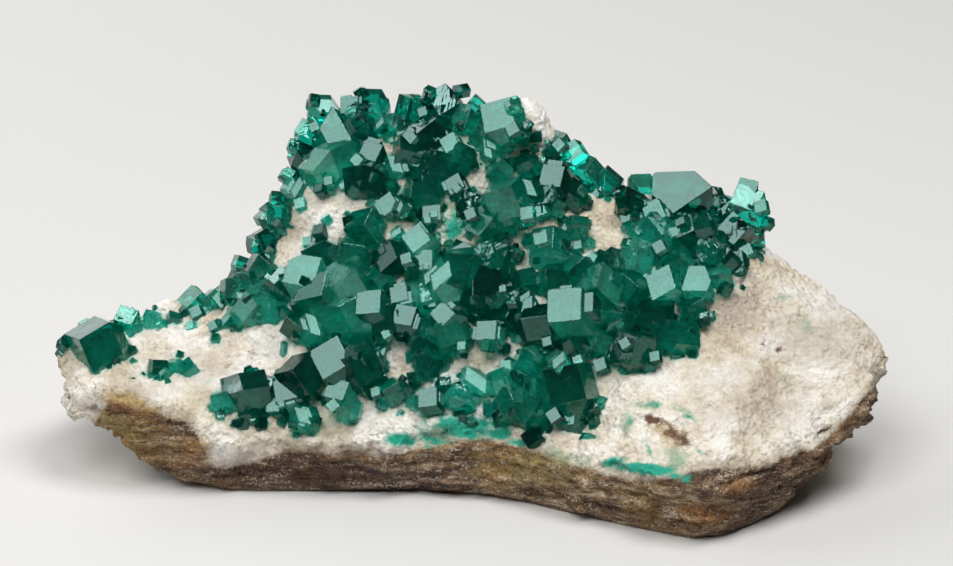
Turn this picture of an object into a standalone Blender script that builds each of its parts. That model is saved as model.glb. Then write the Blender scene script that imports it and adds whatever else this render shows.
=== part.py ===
"""A loose mineral specimen: green dioptase crystals on a white calcite crust over brown host rock.

Run it with: blender --background --python part.py
Lengths in the tables are millimetres. The object's own frame is metres, +Z up, with +X along the
specimen and -Y towards the side on which the crystals are displayed.
"""

import math
import random

import bmesh
import bpy
import numpy as np
from mathutils import Matrix, Vector, noise
from mathutils.bvhtree import BVHTree

MM = 0.001

# The display side. Places on it are given as (across, up), on a plane square to the line of sight.
VIEW_TILT = math.radians(22)
VIEW_DISTANCE = 900 * MM
VIEW_AIM = Vector((1.4, 0, 36.0)) * MM
AIM_ACROSS = 1.4
AIM_UP = 33.4

RIGHT = Vector((1, 0, 0))
UPWARD = Vector((0, math.sin(VIEW_TILT), math.cos(VIEW_TILT)))
TOWARDS = Vector((0, -math.cos(VIEW_TILT), math.sin(VIEW_TILT)))
EYE = VIEW_AIM + VIEW_DISTANCE * TOWARDS

# Cross-sections of the stone, one row for each place along X, as (y, z) pairs.
STATIONS = (
    # x, foot, rim, shelf, slope, crest, back, heel
    (-70.0, (3, 17.5), (2, 18.8), (3, 20.4), (5, 21.6), (8, 21.8), (10, 20.0), (8, 17.8)),
    (-66.0, (1, 14.0), (-1.5, 16.4), (0, 19.0), (5, 21.4), (12, 22.4), (18, 18.0), (14, 13.0)),
    (-58.0, (-2, 8.6), (-5, 13.4), (-4, 17.2), (5, 20.0), (16, 21.9), (26, 16.0), (22, 7.0)),
    (-50.0, (-4, 3.0), (-7, 9.0), (-6, 15.6), (5, 19.0), (18, 22.6), (31, 15.5), (28, 2.5)),
    (-42.0, (-6, 0.5), (-8.5, 6.5), (-6.5, 12.5), (6, 19.8), (20, 25.4), (35, 16.0), (33, 0.5)),
    (-34.0, (-6, 0.0), (-8.5, 7.6), (-6.5, 11.8), (7, 22.0), (23, 35.0), (38, 19.0), (36, 0.0)),
    (-26.0, (-6, 0.0), (-8.5, 8.6), (-6.5, 11.8), (9, 32.0), (26, 51.5), (40, 30.0), (38, 0.0)),
    (-16.0, (-6, 0.0), (-9, 9.0), (-6.5, 11.8), (10, 36.0), (27, 54.5), (41, 33.0), (39, 0.0)),
    (-5.0, (-6.5, 0.0), (-9, 9.2), (-6.5, 12.0), (10, 37.5), (27, 56.0), (42, 34.0), (40, 0.0)),
    (6.0, (-9, 0.0), (-11, 9.4), (-8, 12.2), (10, 36.5), (27, 55.0), (42, 33.0), (40, 0.0)),
    (14.0, (-13.5, 0.0), (-15, 9.8), (-11, 12.0), (8, 32.0), (27, 51.0), (42, 30.0), (40, 0.0)),
    (22.0, (-18, 0.0), (-20, 10.0), (-14, 12.6), (6, 27.5), (26, 43.5), (41, 26.0), (39, 0.0)),
    (32.0, (-23, 0.0), (-26, 11.4), (-20, 14.4), (4, 26.5), (26, 41.5), (40, 25.0), (38, 0.0)),
    (40.0, (-25.5, 0.0), (-28, 11.8), (-22, 15.2), (3, 26.0), (26, 39.5), (39, 24.0), (37, 0.5)),
    (48.0, (-21, 1.5), (-24, 11.5), (-19, 15.5), (3, 24.8), (25, 35.5), (37, 22.0), (34, 2.0)),
    (56.0, (-15.5, 5.0), (-18, 12.0), (-14, 15.8), (3, 22.6), (21, 29.8), (32, 21.0), (28, 6.0)),
    (64.0, (-8, 10.5), (-10, 14.6), (-8, 17.6), (2, 21.0), (14, 24.8), (22, 20.0), (18, 12.5)),
    (69.0, (0, 15.2), (-2, 17.2), (-1, 19.0), (3, 20.6), (8, 21.6), (11, 20.0), (8, 17.0)),
)

# Lumps of the white crust as (x, y, z, radius): the first two make the knob above the crest.
KNOBS = (
    (8.6, 27.0, 55.6, 5.2),
    (11.0, 27.0, 52.0, 5.0),
    (-52.0, 20.0, 21.5, 4.0),
    (66.0, 9.0, 19.5, 5.0),
)

RINGS = 72
POINTS_ROUND = 36
VOXEL = 1.5 * MM
STONE_TRIANGLES = 1300
BASE_CUT = 0.6 * MM
SPIKE_LIMIT = 0.6
SPIKE_PASSES = 8

# Height of the bedding plane between host rock and crust along the front rim, as (x, z).
BEDDING = (
    (-72, 18.5), (-61, 16.0), (-47, 13.6), (-44, 8.4), (-28, 8.3), (-16, 9.6), (-3, 11.2),
    (5, 11.8), (13, 10.8), (22, 9.8), (32, 10.8), (40, 10.9), (48, 12.2), (56, 12.0),
    (64, 14.4), (72, 18.6),
)
BEDDING_RISE = 0.3
BEDDING_CELLS = (20, 7)
BEDDING_WAVE = 0.5
SKIN_GAP = 0.3 * MM

# Dioptase: a six-sided prism closed at each end by three rhombohedron faces, turned half way
# between the two ends. The face normals stand 51 degrees from the long axis.
RHOMB_TILT = math.radians(50.96)
STUBBIEST = 1.0

# The direction that throws the light of a lamp high on the left back to the viewer.
# Many crystals of a druse lie parallel, and flash together.
FLASH = Vector((-0.127, -0.765, 0.632)).normalized()
FLASH_SPREAD = 4

# Crystals by the place where they grow. Each row is (across, up, radius, pose, turn, stretch):
# pose "end" sets a rhombohedron face to the light, centred there, and "side" a prism face.
# "tip" brings the pointed end there, leaning towards `turn`, and "free" leans out from the stone,
# centred there. Turn is in degrees, anticlockwise as seen.
# Stretch is half the length over the radius.
CRYSTALS = {
    "left_end": (
        (-65.4, 24.3, 4.4, "tip", 90, 1.4), (-58.0, 27.3, 2.4, "free", 10, 1.5),
        (-59.0, 22.4, 1.6, "free", 35, 1.5),
    ),
    "left_ridge": (
        (-53.6, 27.0, 1.6, "free", 5, 1.4), (-46.4, 29.2, 2.6, "end", 10, 1.3),
        (-43.9, 28.6, 2.6, "free", 0, 1.5), (-41.6, 30.8, 2.6, "end", 40, 1.3),
        (-40.2, 28.0, 1.6, "side", -35, 1.9), (-37.0, 28.3, 3.0, "free", 60, 1.5),
        (-35.4, 31.4, 2.4, "free", 15, 1.5), (-33.2, 28.6, 2.6, "free", 70, 1.5),
        (-38.6, 33.4, 2.4, "free", 20, 1.4), (-34.6, 36.0, 2.8, "free", 40, 1.4),
        (-33.6, 40.6, 2.5, "free", 10, 1.4), (-31.2, 45.0, 2.8, "free", 30, 1.5),
        (-29.0, 49.6, 2.4, "side", 30, 1.2), (-27.6, 54.0, 2.6, "free", 50, 1.4),
        (-31.6, 32.6, 2.8, "free", 33, 1.4),
    ),
    "left_shelf": (
        (-52.5, 18.6, 1.8, "free", 20, 1.4), (-50.0, 18.8, 1.6, "free", 60, 1.4),
        (-47.8, 18.6, 1.7, "free", 15, 1.4),
    ),
    "front_left": (
        (-37.8, 14.6, 3.4, "free", 20, 1.5), (-41.2, 13.2, 2.0, "free", 50, 1.4),
        (-37.0, 10.6, 1.5, "free", 10, 1.4), (-33.2, 12.6, 1.7, "free", 25, 1.5),
        (-31.0, 15.4, 3.0, "end", 12, 1.3), (-27.6, 17.2, 4.0, "free", 75, 1.5),
        (-28.2, 11.0, 2.3, "side", 80, 1.3), (-31.2, 11.4, 1.6, "free", 30, 1.4),
        (-34.6, 15.6, 2.0, "free", 65, 1.4),
    ),
    "mound_left": (
        (-26.3, 26.4, 3.0, "side", 75, 1.2), (-22.3, 27.8, 3.6, "free", 90, 1.6),
        (-23.4, 20.8, 4.4, "end", 30, 1.3), (-19.6, 25.2, 3.0, "free", 15, 1.4),
        (-16.2, 20.2, 2.2, "side", 8, 1.3), (-22.3, 15.4, 2.7, "end", -15, 1.4),
        (-18.2, 17.8, 4.1, "free", 50, 1.5), (-20.4, 12.0, 2.3, "free", 35, 1.5),
        (-25.6, 31.2, 3.8, "free", 25, 1.4), (-21.4, 33.4, 3.6, "free", 10, 1.5),
        (-28.1, 35.6, 4.3, "end", -12, 1.5), (-24.2, 37.2, 3.2, "free", 60, 1.4),
        (-16.9, 30.2, 3.3, "end", 2, 1.3), (-11.8, 31.6, 2.3, "end", 12, 1.3),
        (-10.9, 28.0, 2.8, "end", -12, 1.3), (-14.2, 27.2, 3.0, "free", 40, 1.4),
        (-6.8, 19.6, 2.5, "free", 75, 1.4), (-19.6, 37.6, 2.8, "free", 5, 1.5),
        (-13.2, 37.4, 3.0, "free", 55, 1.5), (-17.4, 42.6, 3.2, "free", 20, 1.4),
        (-30.2, 25.4, 3.0, "free", 80, 1.5), (-18.6, 22.8, 2.6, "free", 28, 1.4),
        (-15.0, 33.8, 2.4, "free", 12, 1.4),
    ),
    "mound_crest": (
        (-22.4, 58.4, 3.1, "side", 30, 1.5), (-20.2, 63.6, 2.4, "end", 5, 1.3),
        (-24.6, 62.2, 2.7, "free", 40, 1.4), (-16.2, 62.6, 2.8, "free", 10, 1.4),
        (-18.0, 59.4, 3.5, "free", 70, 1.4), (-13.8, 59.6, 2.4, "free", 22, 1.4),
        (-16.6, 55.8, 2.6, "end", -20, 1.3), (-12.4, 53.6, 2.4, "side", 78, 1.3),
        (-23.6, 53.0, 3.6, "free", 15, 1.5), (-17.0, 50.6, 3.3, "free", 45, 1.4),
        (-27.2, 58.6, 2.2, "free", 5, 1.4), (-13.8, 46.8, 2.4, "end", 35, 1.3),
        (-8.9, 62.6, 3.2, "free", 30, 1.5), (-4.2, 64.2, 3.2, "free", 55, 1.5),
        (-2.8, 62.6, 2.2, "end", 8, 1.2), (-5.8, 58.6, 3.2, "free", 12, 1.5),
        (-3.2, 57.2, 2.2, "end", 30, 1.2), (-9.8, 54.8, 3.0, "free", 65, 1.4),
        (4.9, 61.8, 4.2, "end", 14, 1.3), (3.8, 58.0, 3.0, "side", 66, 1.2),
        (0.0, 60.4, 2.8, "free", 30, 1.4), (-5.6, 53.0, 2.8, "free", 0, 1.4),
        (-1.2, 54.2, 2.6, "free", 50, 1.4),
    ),
    "mound_middle": (
        (-7.6, 48.6, 3.2, "free", 20, 1.5), (-8.9, 41.0, 3.0, "end", 38, 1.3),
        (0.4, 46.6, 2.4, "free", 60, 1.4), (2.4, 43.2, 3.2, "free", 10, 1.5),
        (6.4, 46.2, 4.0, "free", 75, 1.5), (5.4, 51.8, 2.2, "free", 30, 1.4),
        (-0.5, 37.6, 4.4, "end", 48, 1.3), (-4.4, 34.8, 3.6, "side", 12, 1.3),
        (2.2, 31.4, 4.0, "free", 35, 1.5), (4.8, 38.2, 3.4, "free", 15, 1.4),
        (-7.8, 36.2, 2.6, "free", 65, 1.4), (-7.2, 31.0, 2.8, "free", 25, 1.4),
        (-4.4, 28.2, 2.6, "end", 45, 1.4), (-3.2, 25.0, 3.0, "free", 85, 1.4),
        (3.0, 25.4, 2.7, "end", 0, 1.3), (-7.6, 24.4, 2.8, "free", 45, 1.4),
        (9.6, 29.4, 2.4, "side", 4, 1.4), (6.8, 27.6, 2.6, "free", 20, 1.4),
        (-5.0, 44.4, 2.6, "free", 70, 1.4), (-2.4, 50.2, 2.2, "end", 30, 1.2),
        (0.4, 22.0, 2.2, "free", 55, 1.4),
    ),
    "right_shoulder": (
        (17.5, 55.8, 2.4, "end", 35, 1.2), (14.8, 56.2, 2.3, "free", 20, 1.4),
        (14.1, 51.6, 3.0, "end", -10, 1.3), (19.2, 52.2, 3.0, "free", 55, 1.5),
        (10.2, 49.6, 2.4, "side", 80, 1.3), (23.3, 50.2, 3.0, "free", 30, 1.5),
        (17.6, 47.8, 2.4, "free", 10, 1.4), (18.2, 42.6, 2.1, "free", 0, 1.4),
        (13.8, 38.6, 3.4, "free", 45, 1.4), (10.0, 53.2, 2.2, "free", 60, 1.4),
        (13.2, 48.2, 2.2, "free", 33, 1.4),
    ),
    "right_peak": (
        (36.6, 48.2, 6.0, "end", 43, 1.2), (30.2, 49.6, 2.6, "free", 20, 1.5),
        (27.8, 46.4, 2.6, "free", 50, 1.4), (47.0, 49.0, 2.9, "end", -12, 1.4),
        (47.2, 45.2, 3.4, "free", 10, 1.4), (44.0, 46.4, 2.3, "side", 12, 1.2),
        (31.4, 45.4, 2.6, "end", 25, 1.2), (31.2, 41.6, 3.0, "free", 70, 1.4),
        (34.4, 42.0, 2.4, "side", -15, 1.3), (32.2, 38.8, 2.4, "free", 30, 1.4),
        (44.6, 41.2, 3.3, "free", 85, 1.4), (48.2, 41.6, 2.2, "free", 40, 1.4),
        (45.2, 37.4, 2.2, "end", 10, 1.2), (42.6, 34.2, 2.3, "free", 20, 1.4),
        (38.4, 41.6, 3.4, "free", 15, 1.4), (40.6, 37.8, 2.8, "free", 55, 1.4),
        (38.9, 34.2, 3.9, "end", -8, 1.2), (32.4, 33.6, 4.0, "end", 6, 1.2),
        (28.6, 37.6, 3.0, "free", 35, 1.5), (28.0, 32.4, 2.8, "free", 80, 1.4),
        (36.9, 29.2, 2.9, "side", 70, 1.2), (34.8, 23.8, 3.6, "side", 62, 1.5),
        (28.0, 21.6, 3.6, "free", 25, 1.4), (31.4, 27.4, 3.2, "free", 60, 1.4),
        (25.8, 25.6, 2.8, "free", 15, 1.4), (40.6, 44.8, 2.6, "free", 42, 1.4),
        (24.6, 36.4, 2.8, "free", 50, 1.4),
    ),
    "centre_right": (
        (16.2, 29.7, 5.0, "end", 3, 1.3), (22.2, 32.2, 4.0, "free", 30, 1.5),
        (22.8, 27.6, 3.2, "free", 65, 1.4), (18.6, 35.0, 3.0, "free", 10, 1.4),
        (9.8, 33.4, 2.2, "free", 40, 1.4), (11.2, 26.0, 3.2, "free", 5, 1.5),
        (17.6, 22.6, 2.8, "free", 75, 1.4), (10.6, 20.2, 2.5, "free", 50, 1.4),
        (21.6, 22.8, 2.4, "free", 20, 1.4), (12.4, 34.2, 3.2, "free", 60, 1.4),
    ),
    "front_middle": (
        (1.3, 17.0, 1.9, "side", 56, 2.0), (6.2, 16.6, 2.4, "free", 60, 1.4),
        (7.0, 12.4, 2.9, "free", 15, 1.4), (10.2, 11.2, 2.8, "free", 45, 1.4),
        (17.0, 14.4, 4.9, "free", 25, 1.4), (17.4, 9.8, 2.1, "free", 10, 1.4),
        (11.6, 15.4, 2.2, "free", 33, 1.4), (-6.9, 14.0, 2.5, "end", 5, 1.3),
        (-12.4, 14.8, 2.3, "free", 5, 1.4), (-1.6, 13.4, 2.2, "free", 40, 1.4),
    ),
    "lone": (
        (-31.3, 22.2, 1.1, "free", 0, 1.8), (22.3, 19.6, 1.6, "end", 20, 1.2),
        (20.3, 6.6, 1.1, "free", 30, 1.4),
    ),
}
GROWTH = {"end": 1.08, "side": 1.08, "tip": 1.08, "free": 1.2}
TIP_LEAN = math.radians(40)
TIP_PROUD = 1.5
END_PROUD = 1.2
FREE_PROUD = 0.12
SEED = 17
FLAT_ANGLE = math.radians(0.05)
SLIVER = 1.5 * MM**3


def smooth_row(values, positions, at):
    """Reads rows of values at new positions, on a smooth curve through all of them."""
    values, positions = np.asarray(values, float), np.asarray(positions, float)
    slopes = np.gradient(values, positions, axis=0)
    found = []
    for x in at:
        i = int(np.clip(np.searchsorted(positions, x) - 1, 0, len(positions) - 2))
        width = positions[i + 1] - positions[i]
        t = (x - positions[i]) / width
        found.append(
            values[i] * (2 * t**3 - 3 * t**2 + 1)
            + values[i + 1] * (3 * t**2 - 2 * t**3)
            + slopes[i] * width * (t**3 - 2 * t**2 + t)
            + slopes[i + 1] * width * (t**3 - t**2)
        )
    return np.array(found)


def ring_of(corners, count):
    """A closed curve through a section's corners, as `count` points."""
    closed = np.vstack([corners[-2:], corners, corners[:3]])
    steps = np.linalg.norm(np.diff(closed, axis=0), axis=1)
    along = np.concatenate([[0], np.cumsum(steps)])
    at = np.linspace(along[2], along[2 + len(corners)], count, endpoint=False)
    return smooth_row(closed, along, at)


def stone_shape():
    """The whole stone as a loft along X, in millimetres, with closed ends."""
    xs = [row[0] for row in STATIONS]
    corners = [np.array(row[1:], float).ravel() for row in STATIONS]
    at = np.linspace(xs[0], xs[-1], RINGS)
    shape = bmesh.new()
    rings = []
    for x, flat in zip(at, smooth_row(corners, xs, at)):
        section = flat.reshape(-1, 2)
        underside = (section[0] + section[-1]) / 2
        ring = ring_of(np.vstack([section, underside]), POINTS_ROUND)
        rings.append([shape.verts.new((x, y, z)) for y, z in ring])
    for first, second in zip(rings, rings[1:]):
        for i in range(POINTS_ROUND):
            j = (i + 1) % POINTS_ROUND
            shape.faces.new((first[i], first[j], second[j], second[i]))
    shape.faces.new(rings[0])
    shape.faces.new(reversed(rings[-1]))
    bmesh.ops.recalc_face_normals(shape, faces=shape.faces)
    return shape


def new_object(name, mesh, collection):
    """Adds an object for a mesh to a collection."""
    made = bpy.data.objects.new(name, mesh)
    collection.objects.link(made)
    return made


def mesh_of(shape, name, scale=1.0):
    """Makes a mesh from a bmesh, and frees the bmesh."""
    shape.transform(Matrix.Scale(scale, 4))
    mesh = bpy.data.meshes.new(name)
    shape.to_mesh(mesh)
    shape.free()
    return mesh


def bake_modifiers(source):
    """Replaces an object's mesh by the one that its modifiers make."""
    bpy.context.view_layer.update()
    graph = bpy.context.evaluated_depsgraph_get()
    mesh = bpy.data.meshes.new_from_object(source.evaluated_get(graph))
    source.modifiers.clear()
    source.data = mesh


def cut_with(target, cutter, operation):
    """Applies one Boolean to an object. The cutter may be an object or a collection."""
    boolean = target.modifiers.new("Boolean", "BOOLEAN")
    boolean.operation = operation
    boolean.solver = "MANIFOLD"
    if isinstance(cutter, bpy.types.Collection):
        boolean.operand_type = "COLLECTION"
        boolean.collection = cutter
    else:
        boolean.object = cutter
    bake_modifiers(target)


def merge_flat_faces(mesh):
    """Turns the triangles that a Boolean leaves on one plane back into one face."""
    shape = bmesh.new()
    shape.from_mesh(mesh)
    bmesh.ops.dissolve_limit(
        shape, angle_limit=FLAT_ANGLE, use_dissolve_boundaries=False,
        verts=shape.verts, edges=shape.edges,
    )
    shape.to_mesh(mesh)
    shape.free()


def hide_cutter(cutter):
    """Marks an object as a tool and not a part."""
    cutter.hide_render = True
    cutter.display_type = "WIRE"


def roughen(mesh):
    """Gives the stone the lumps and hollows of a broken surface, in three sizes."""
    normals = [v.normal.copy() for v in mesh.vertices]
    for v, normal in zip(mesh.vertices, normals):
        place = v.co / MM
        big = noise.noise(place / 15.0) * 1.5
        middle = noise.noise(place / 6.0 + Vector((7, 3, 1))) * 0.9
        small = noise.noise(place / 3.0 + Vector((2, 9, 4))) * 0.45
        share = min(1.0, max(0.25, place.z / 6.0))
        v.co += normal * (big + middle + small) * share * MM


def blunt_spikes(mesh):
    """Smooths the vertices whose faces turn far away from each other, so that a skin can be laid."""
    shape = bmesh.new()
    shape.from_mesh(mesh)
    for _ in range(SPIKE_PASSES):
        shape.normal_update()
        for v in shape.verts:
            if min(v.normal.dot(f.normal) for f in v.link_faces) < SPIKE_LIMIT:
                around = [e.other_vert(v).co for e in v.link_edges]
                v.co = v.co.lerp(sum(around, Vector()) / len(around), 0.5)
    shape.to_mesh(mesh)
    shape.free()


def cut_flat(mesh, height):
    """Cuts the stone off flat at a height, and sets the cut on the floor."""
    shape = bmesh.new()
    shape.from_mesh(mesh)
    cut = bmesh.ops.bisect_plane(
        shape,
        geom=shape.verts[:] + shape.edges[:] + shape.faces[:],
        plane_co=(0, 0, height),
        plane_no=(0, 0, -1),
        clear_outer=True,
    )
    edges = [e for e in cut["geom_cut"] if isinstance(e, bmesh.types.BMEdge)]
    bmesh.ops.holes_fill(shape, edges=edges)
    bmesh.ops.translate(shape, verts=shape.verts, vec=(0, 0, -height))
    shape.to_mesh(mesh)
    shape.free()


def stone_body(collection):
    """The stone before its crust and its host rock are parted."""
    shape = stone_shape()
    for x, y, z, radius in KNOBS:
        place = Matrix.Translation((x, y, z))
        bmesh.ops.create_icosphere(shape, subdivisions=3, radius=radius, matrix=place)
    body = new_object("stone_body", mesh_of(shape, "stone_body", MM), collection)
    remesh = body.modifiers.new("Remesh", "REMESH")
    remesh.mode = "VOXEL"
    remesh.voxel_size = VOXEL
    bake_modifiers(body)
    roughen(body.data)
    decimate = body.modifiers.new("Decimate", "DECIMATE")
    decimate.ratio = STONE_TRIANGLES / (2 * len(body.data.polygons))
    decimate.use_collapse_triangulate = True
    bake_modifiers(body)
    blunt_spikes(body.data)
    cut_flat(body.data, BASE_CUT)
    return body


def bedding_slab(name, drop, collection):
    """A closed block under the bedding plane, lowered by `drop`, to part rock from crust."""
    xs = [row[0] for row in STATIONS]
    rims = [row[2][0] for row in STATIONS]
    backs = [row[6][0] for row in STATIONS]
    crests = [row[5][1] for row in STATIONS]
    shape = bmesh.new()
    across, deep = BEDDING_CELLS
    grid = bmesh.ops.create_grid(shape, x_segments=across, y_segments=deep, size=1)
    for v in grid["verts"]:
        x = v.co.x * 76
        y = 8 + v.co.y * 48
        rim = float(np.interp(x, xs, rims))
        back = float(np.interp(x, xs, backs))
        front = float(np.interp(x, *zip(*BEDDING)))
        rise = BEDDING_RISE * max(0, float(np.interp(x, xs, crests)) - front)
        t = min(1, max(0, (y - rim) / (back - rim)))
        wave = noise.noise(Vector((x, y, 5)) / 9) * BEDDING_WAVE
        v.co = Vector((x, y, front + rise * t + wave)) * MM - Vector((0, 0, drop))
    walls = bmesh.ops.extrude_face_region(shape, geom=shape.faces[:])
    bottom = [v for v in walls["geom"] if isinstance(v, bmesh.types.BMVert)]
    for v in bottom:
        v.co.z = -20 * MM
    bmesh.ops.recalc_face_normals(shape, faces=shape.faces)
    bmesh.ops.triangulate(shape, faces=shape.faces, quad_method="FIXED")
    slab = new_object(name, mesh_of(shape, name), collection)
    hide_cutter(slab)
    return slab


def sight(across, up, surface):
    """The place where the line of sight through (across, up) meets the stone, or passes nearest."""
    aim = VIEW_AIM + RIGHT * (across - AIM_ACROSS) * MM + UPWARD * (up - AIM_UP) * MM
    line = (aim - EYE).normalized()
    hit, normal, _, _ = surface.ray_cast(EYE, line)
    if hit is not None:
        return hit, normal
    best = None
    for step in range(-60, 61):
        point = aim + line * step * MM
        near, normal, _, distance = surface.find_nearest(point)
        if best is None or distance < best[0]:
            best = (distance, point, normal)
    return best[1], best[2]


def crystal_shape(radius, stretch):
    """One dioptase crystal on the Z axis: a hexagonal prism cut at each end by three planes."""
    half = radius * max(stretch, STUBBIEST)
    shape = bmesh.new()
    bmesh.ops.create_cone(
        shape, cap_ends=True, segments=6, radius1=radius, radius2=radius, depth=2 * half
    )
    bmesh.ops.rotate(shape, verts=shape.verts, matrix=Matrix.Rotation(first_corner(shape), 3, "Z"))
    for end in (1, -1):
        for k in range(3):
            angle = math.radians(120 * k + (0 if end > 0 else 60))
            tilt = math.sin(RHOMB_TILT)
            normal = Vector((tilt * math.cos(angle), tilt * math.sin(angle), 0))
            normal.z = end * math.cos(RHOMB_TILT)
            cut = bmesh.ops.bisect_plane(
                shape,
                geom=shape.verts[:] + shape.edges[:] + shape.faces[:],
                plane_co=(0, 0, end * half),
                plane_no=normal,
                clear_outer=True,
            )
            edges = [e for e in cut["geom_cut"] if isinstance(e, bmesh.types.BMEdge)]
            bmesh.ops.holes_fill(shape, edges=edges)
    return shape


def first_corner(shape):
    """The turn that brings a corner of a six-sided prism onto the X axis."""
    corner = max(shape.verts, key=lambda v: v.co.x)
    return -math.atan2(corner.co.y, corner.co.x)


def frame_from(direction, outward):
    """A rotation whose columns are a direction, the one across it, and the outward normal."""
    across = outward.cross(direction).normalized()
    return Matrix((direction, across, outward)).transposed()


def in_plane(outward, turn):
    """A direction in a face, `turn` degrees anticlockwise from upright as the viewer sees it."""
    upright = (UPWARD - outward * UPWARD.dot(outward)).normalized()
    return Matrix.Rotation(math.radians(turn), 3, outward) @ upright


def crystal_place(place, size, pose, turn, stretch, surface, dice):
    """The rotation and the centre of one crystal of the table."""
    half = size * max(stretch, STUBBIEST)
    spot, normal = sight(*place, surface)
    shake = Vector([dice.uniform(-1, 1) for _ in range(3)])
    if pose == "free":
        axis = (normal + shake * 0.9 + TOWARDS * 0.2).normalized()
        side = Matrix.Rotation(math.radians(turn), 3, axis) @ axis.orthogonal().normalized()
        turned = frame_from(side, axis)
        return turned, spot + TOWARDS * size * FREE_PROUD
    if pose == "tip":
        lean = in_plane(TOWARDS, turn)
        axis = TOWARDS * math.cos(TIP_LEAN) + lean * math.sin(TIP_LEAN)
        turned = frame_from((-lean + axis * lean.dot(axis)).normalized(), axis)
        return turned, spot + TOWARDS * size * TIP_PROUD - axis * half
    outward = (FLASH + shake * math.radians(FLASH_SPREAD)).normalized()
    if pose == "end":
        face_normal = Vector((math.sin(RHOMB_TILT), 0, math.cos(RHOMB_TILT)))
        face_upward = Vector((-math.cos(RHOMB_TILT), 0, math.sin(RHOMB_TILT)))
        face_centre = Vector((size / 2, 0, half - size * math.tan(RHOMB_TILT) / 2))
        seen = in_plane(outward, turn + 45)
    else:
        face_normal = Vector((math.cos(math.pi / 6), math.sin(math.pi / 6), 0))
        face_upward = Vector((0, 0, 1))
        face_centre = face_normal * size * math.cos(math.pi / 6)
        seen = in_plane(outward, turn)
    turned = frame_from(seen, outward) @ frame_from(face_upward, face_normal).transposed()
    return turned, spot + TOWARDS * size * END_PROUD - turned @ face_centre


def grow_crystals(surface, collection):
    """Makes every crystal of the table as an object of its own, and notes where each stands."""
    dice = random.Random(SEED)
    grown = []
    for zone, rows in CRYSTALS.items():
        for across, up, radius, pose, turn, stretch in rows:
            size = radius * GROWTH[pose] * MM
            turned, centre = crystal_place((across, up), size, pose, turn, stretch, surface, dice)
            shape = crystal_shape(size, stretch)
            shape.transform(Matrix.Translation(centre) @ turned.to_4x4())
            crystal = new_object(f"seed_{zone}", mesh_of(shape, "seed"), collection)
            hide_cutter(crystal)
            grown.append((zone, size, centre))
    return grown


def loose_parts(mesh):
    """Splits a mesh into one bmesh for each closed body, largest first."""
    shape = bmesh.new()
    shape.from_mesh(mesh)
    seen = set()
    parts = []
    for first in shape.verts:
        if first in seen:
            continue
        stack, body = [first], set()
        seen.add(first)
        while stack:
            v = stack.pop()
            body.add(v)
            for edge in v.link_edges:
                other = edge.other_vert(v)
                if other not in seen:
                    seen.add(other)
                    stack.append(other)
        parts.append(body)
    split = []
    for body in sorted(parts, key=len, reverse=True):
        part = shape.copy()
        keep = {v.index for v in body}
        gone = [v for v in part.verts if v.index not in keep]
        bmesh.ops.delete(part, geom=gone, context="VERTS")
        split.append(part)
    shape.free()
    return split


def material(name, colour, roughness, transmission=0.0, ior=1.5):
    """A plain Principled material."""
    made = bpy.data.materials.new(name)
    made.use_nodes = True
    made.diffuse_color = (*colour, 1)
    surface = made.node_tree.nodes["Principled BSDF"]
    surface.inputs["Base Color"].default_value = (*colour, 1)
    surface.inputs["Roughness"].default_value = roughness
    surface.inputs["Metallic"].default_value = 0.0
    surface.inputs["IOR"].default_value = ior
    surface.inputs["Transmission Weight"].default_value = transmission
    return made


def part_stone(body, specimen, cutters):
    """Parts the stone along its bedding plane into the host rock and the white crust."""
    rock = new_object("host_rock", body.data.copy(), specimen)
    crust = new_object("calcite_crust", body.data.copy(), specimen)
    cut_with(rock, bedding_slab("below_bedding", SKIN_GAP / 2, cutters), "INTERSECT")
    cut_with(crust, bedding_slab("up_to_bedding", -SKIN_GAP / 2, cutters), "DIFFERENCE")
    return rock, crust


def join_crystals(seeds, body, cutters):
    """Joins all crystals in one mesh, and cuts them clear of the stone that they stand on."""
    joined = new_object("joined_crystals", seeds.objects[0].data.copy(), cutters)
    cut_with(joined, seeds, "UNION")
    merge_flat_faces(joined.data)
    skin = new_object("stone_skin", body.data.copy(), cutters)
    swell = skin.modifiers.new("Displace", "DISPLACE")
    swell.strength = SKIN_GAP
    swell.mid_level = 0
    bake_modifiers(skin)
    hide_cutter(skin)
    cut_with(joined, skin, "DIFFERENCE")
    return joined


def name_crystals(joined, grown, specimen, green):
    """Gives each body of grown-together crystals its own object, named for where it grows."""
    counts = {}
    for part in loose_parts(joined.data):
        if abs(part.calc_volume()) < SLIVER:
            part.free()
            continue
        centre = sum((v.co for v in part.verts), Vector()) / len(part.verts)
        zone = min(grown, key=lambda row: (row[2] - centre).length - row[1])[0]
        if not counts:
            zone = "mound"
        counts[zone] = counts.get(zone, 0) + 1
        name = f"dioptase_{zone}" + (f"_{counts[zone]}" if counts[zone] > 1 else "")
        cluster = new_object(name, mesh_of(part, name), specimen)
        cluster.data.materials.clear()
        cluster.data.materials.append(green)


def centre_on_base(specimen):
    """Moves the whole specimen so that the middle of its box stands on the origin."""
    corners = [v.co for part in specimen.objects for v in part.data.vertices]
    low = [min(c[i] for c in corners) for i in range(3)]
    high = [max(c[i] for c in corners) for i in range(3)]
    shift = Vector(((low[0] + high[0]) / -2, (low[1] + high[1]) / -2, 0))
    for part in specimen.objects:
        part.data.transform(Matrix.Translation(shift))
    print("box in mm", [round((high[i] - low[i]) / MM, 1) for i in range(3)])
    print("shift in mm", [round(c / MM, 2) for c in shift])


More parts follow.
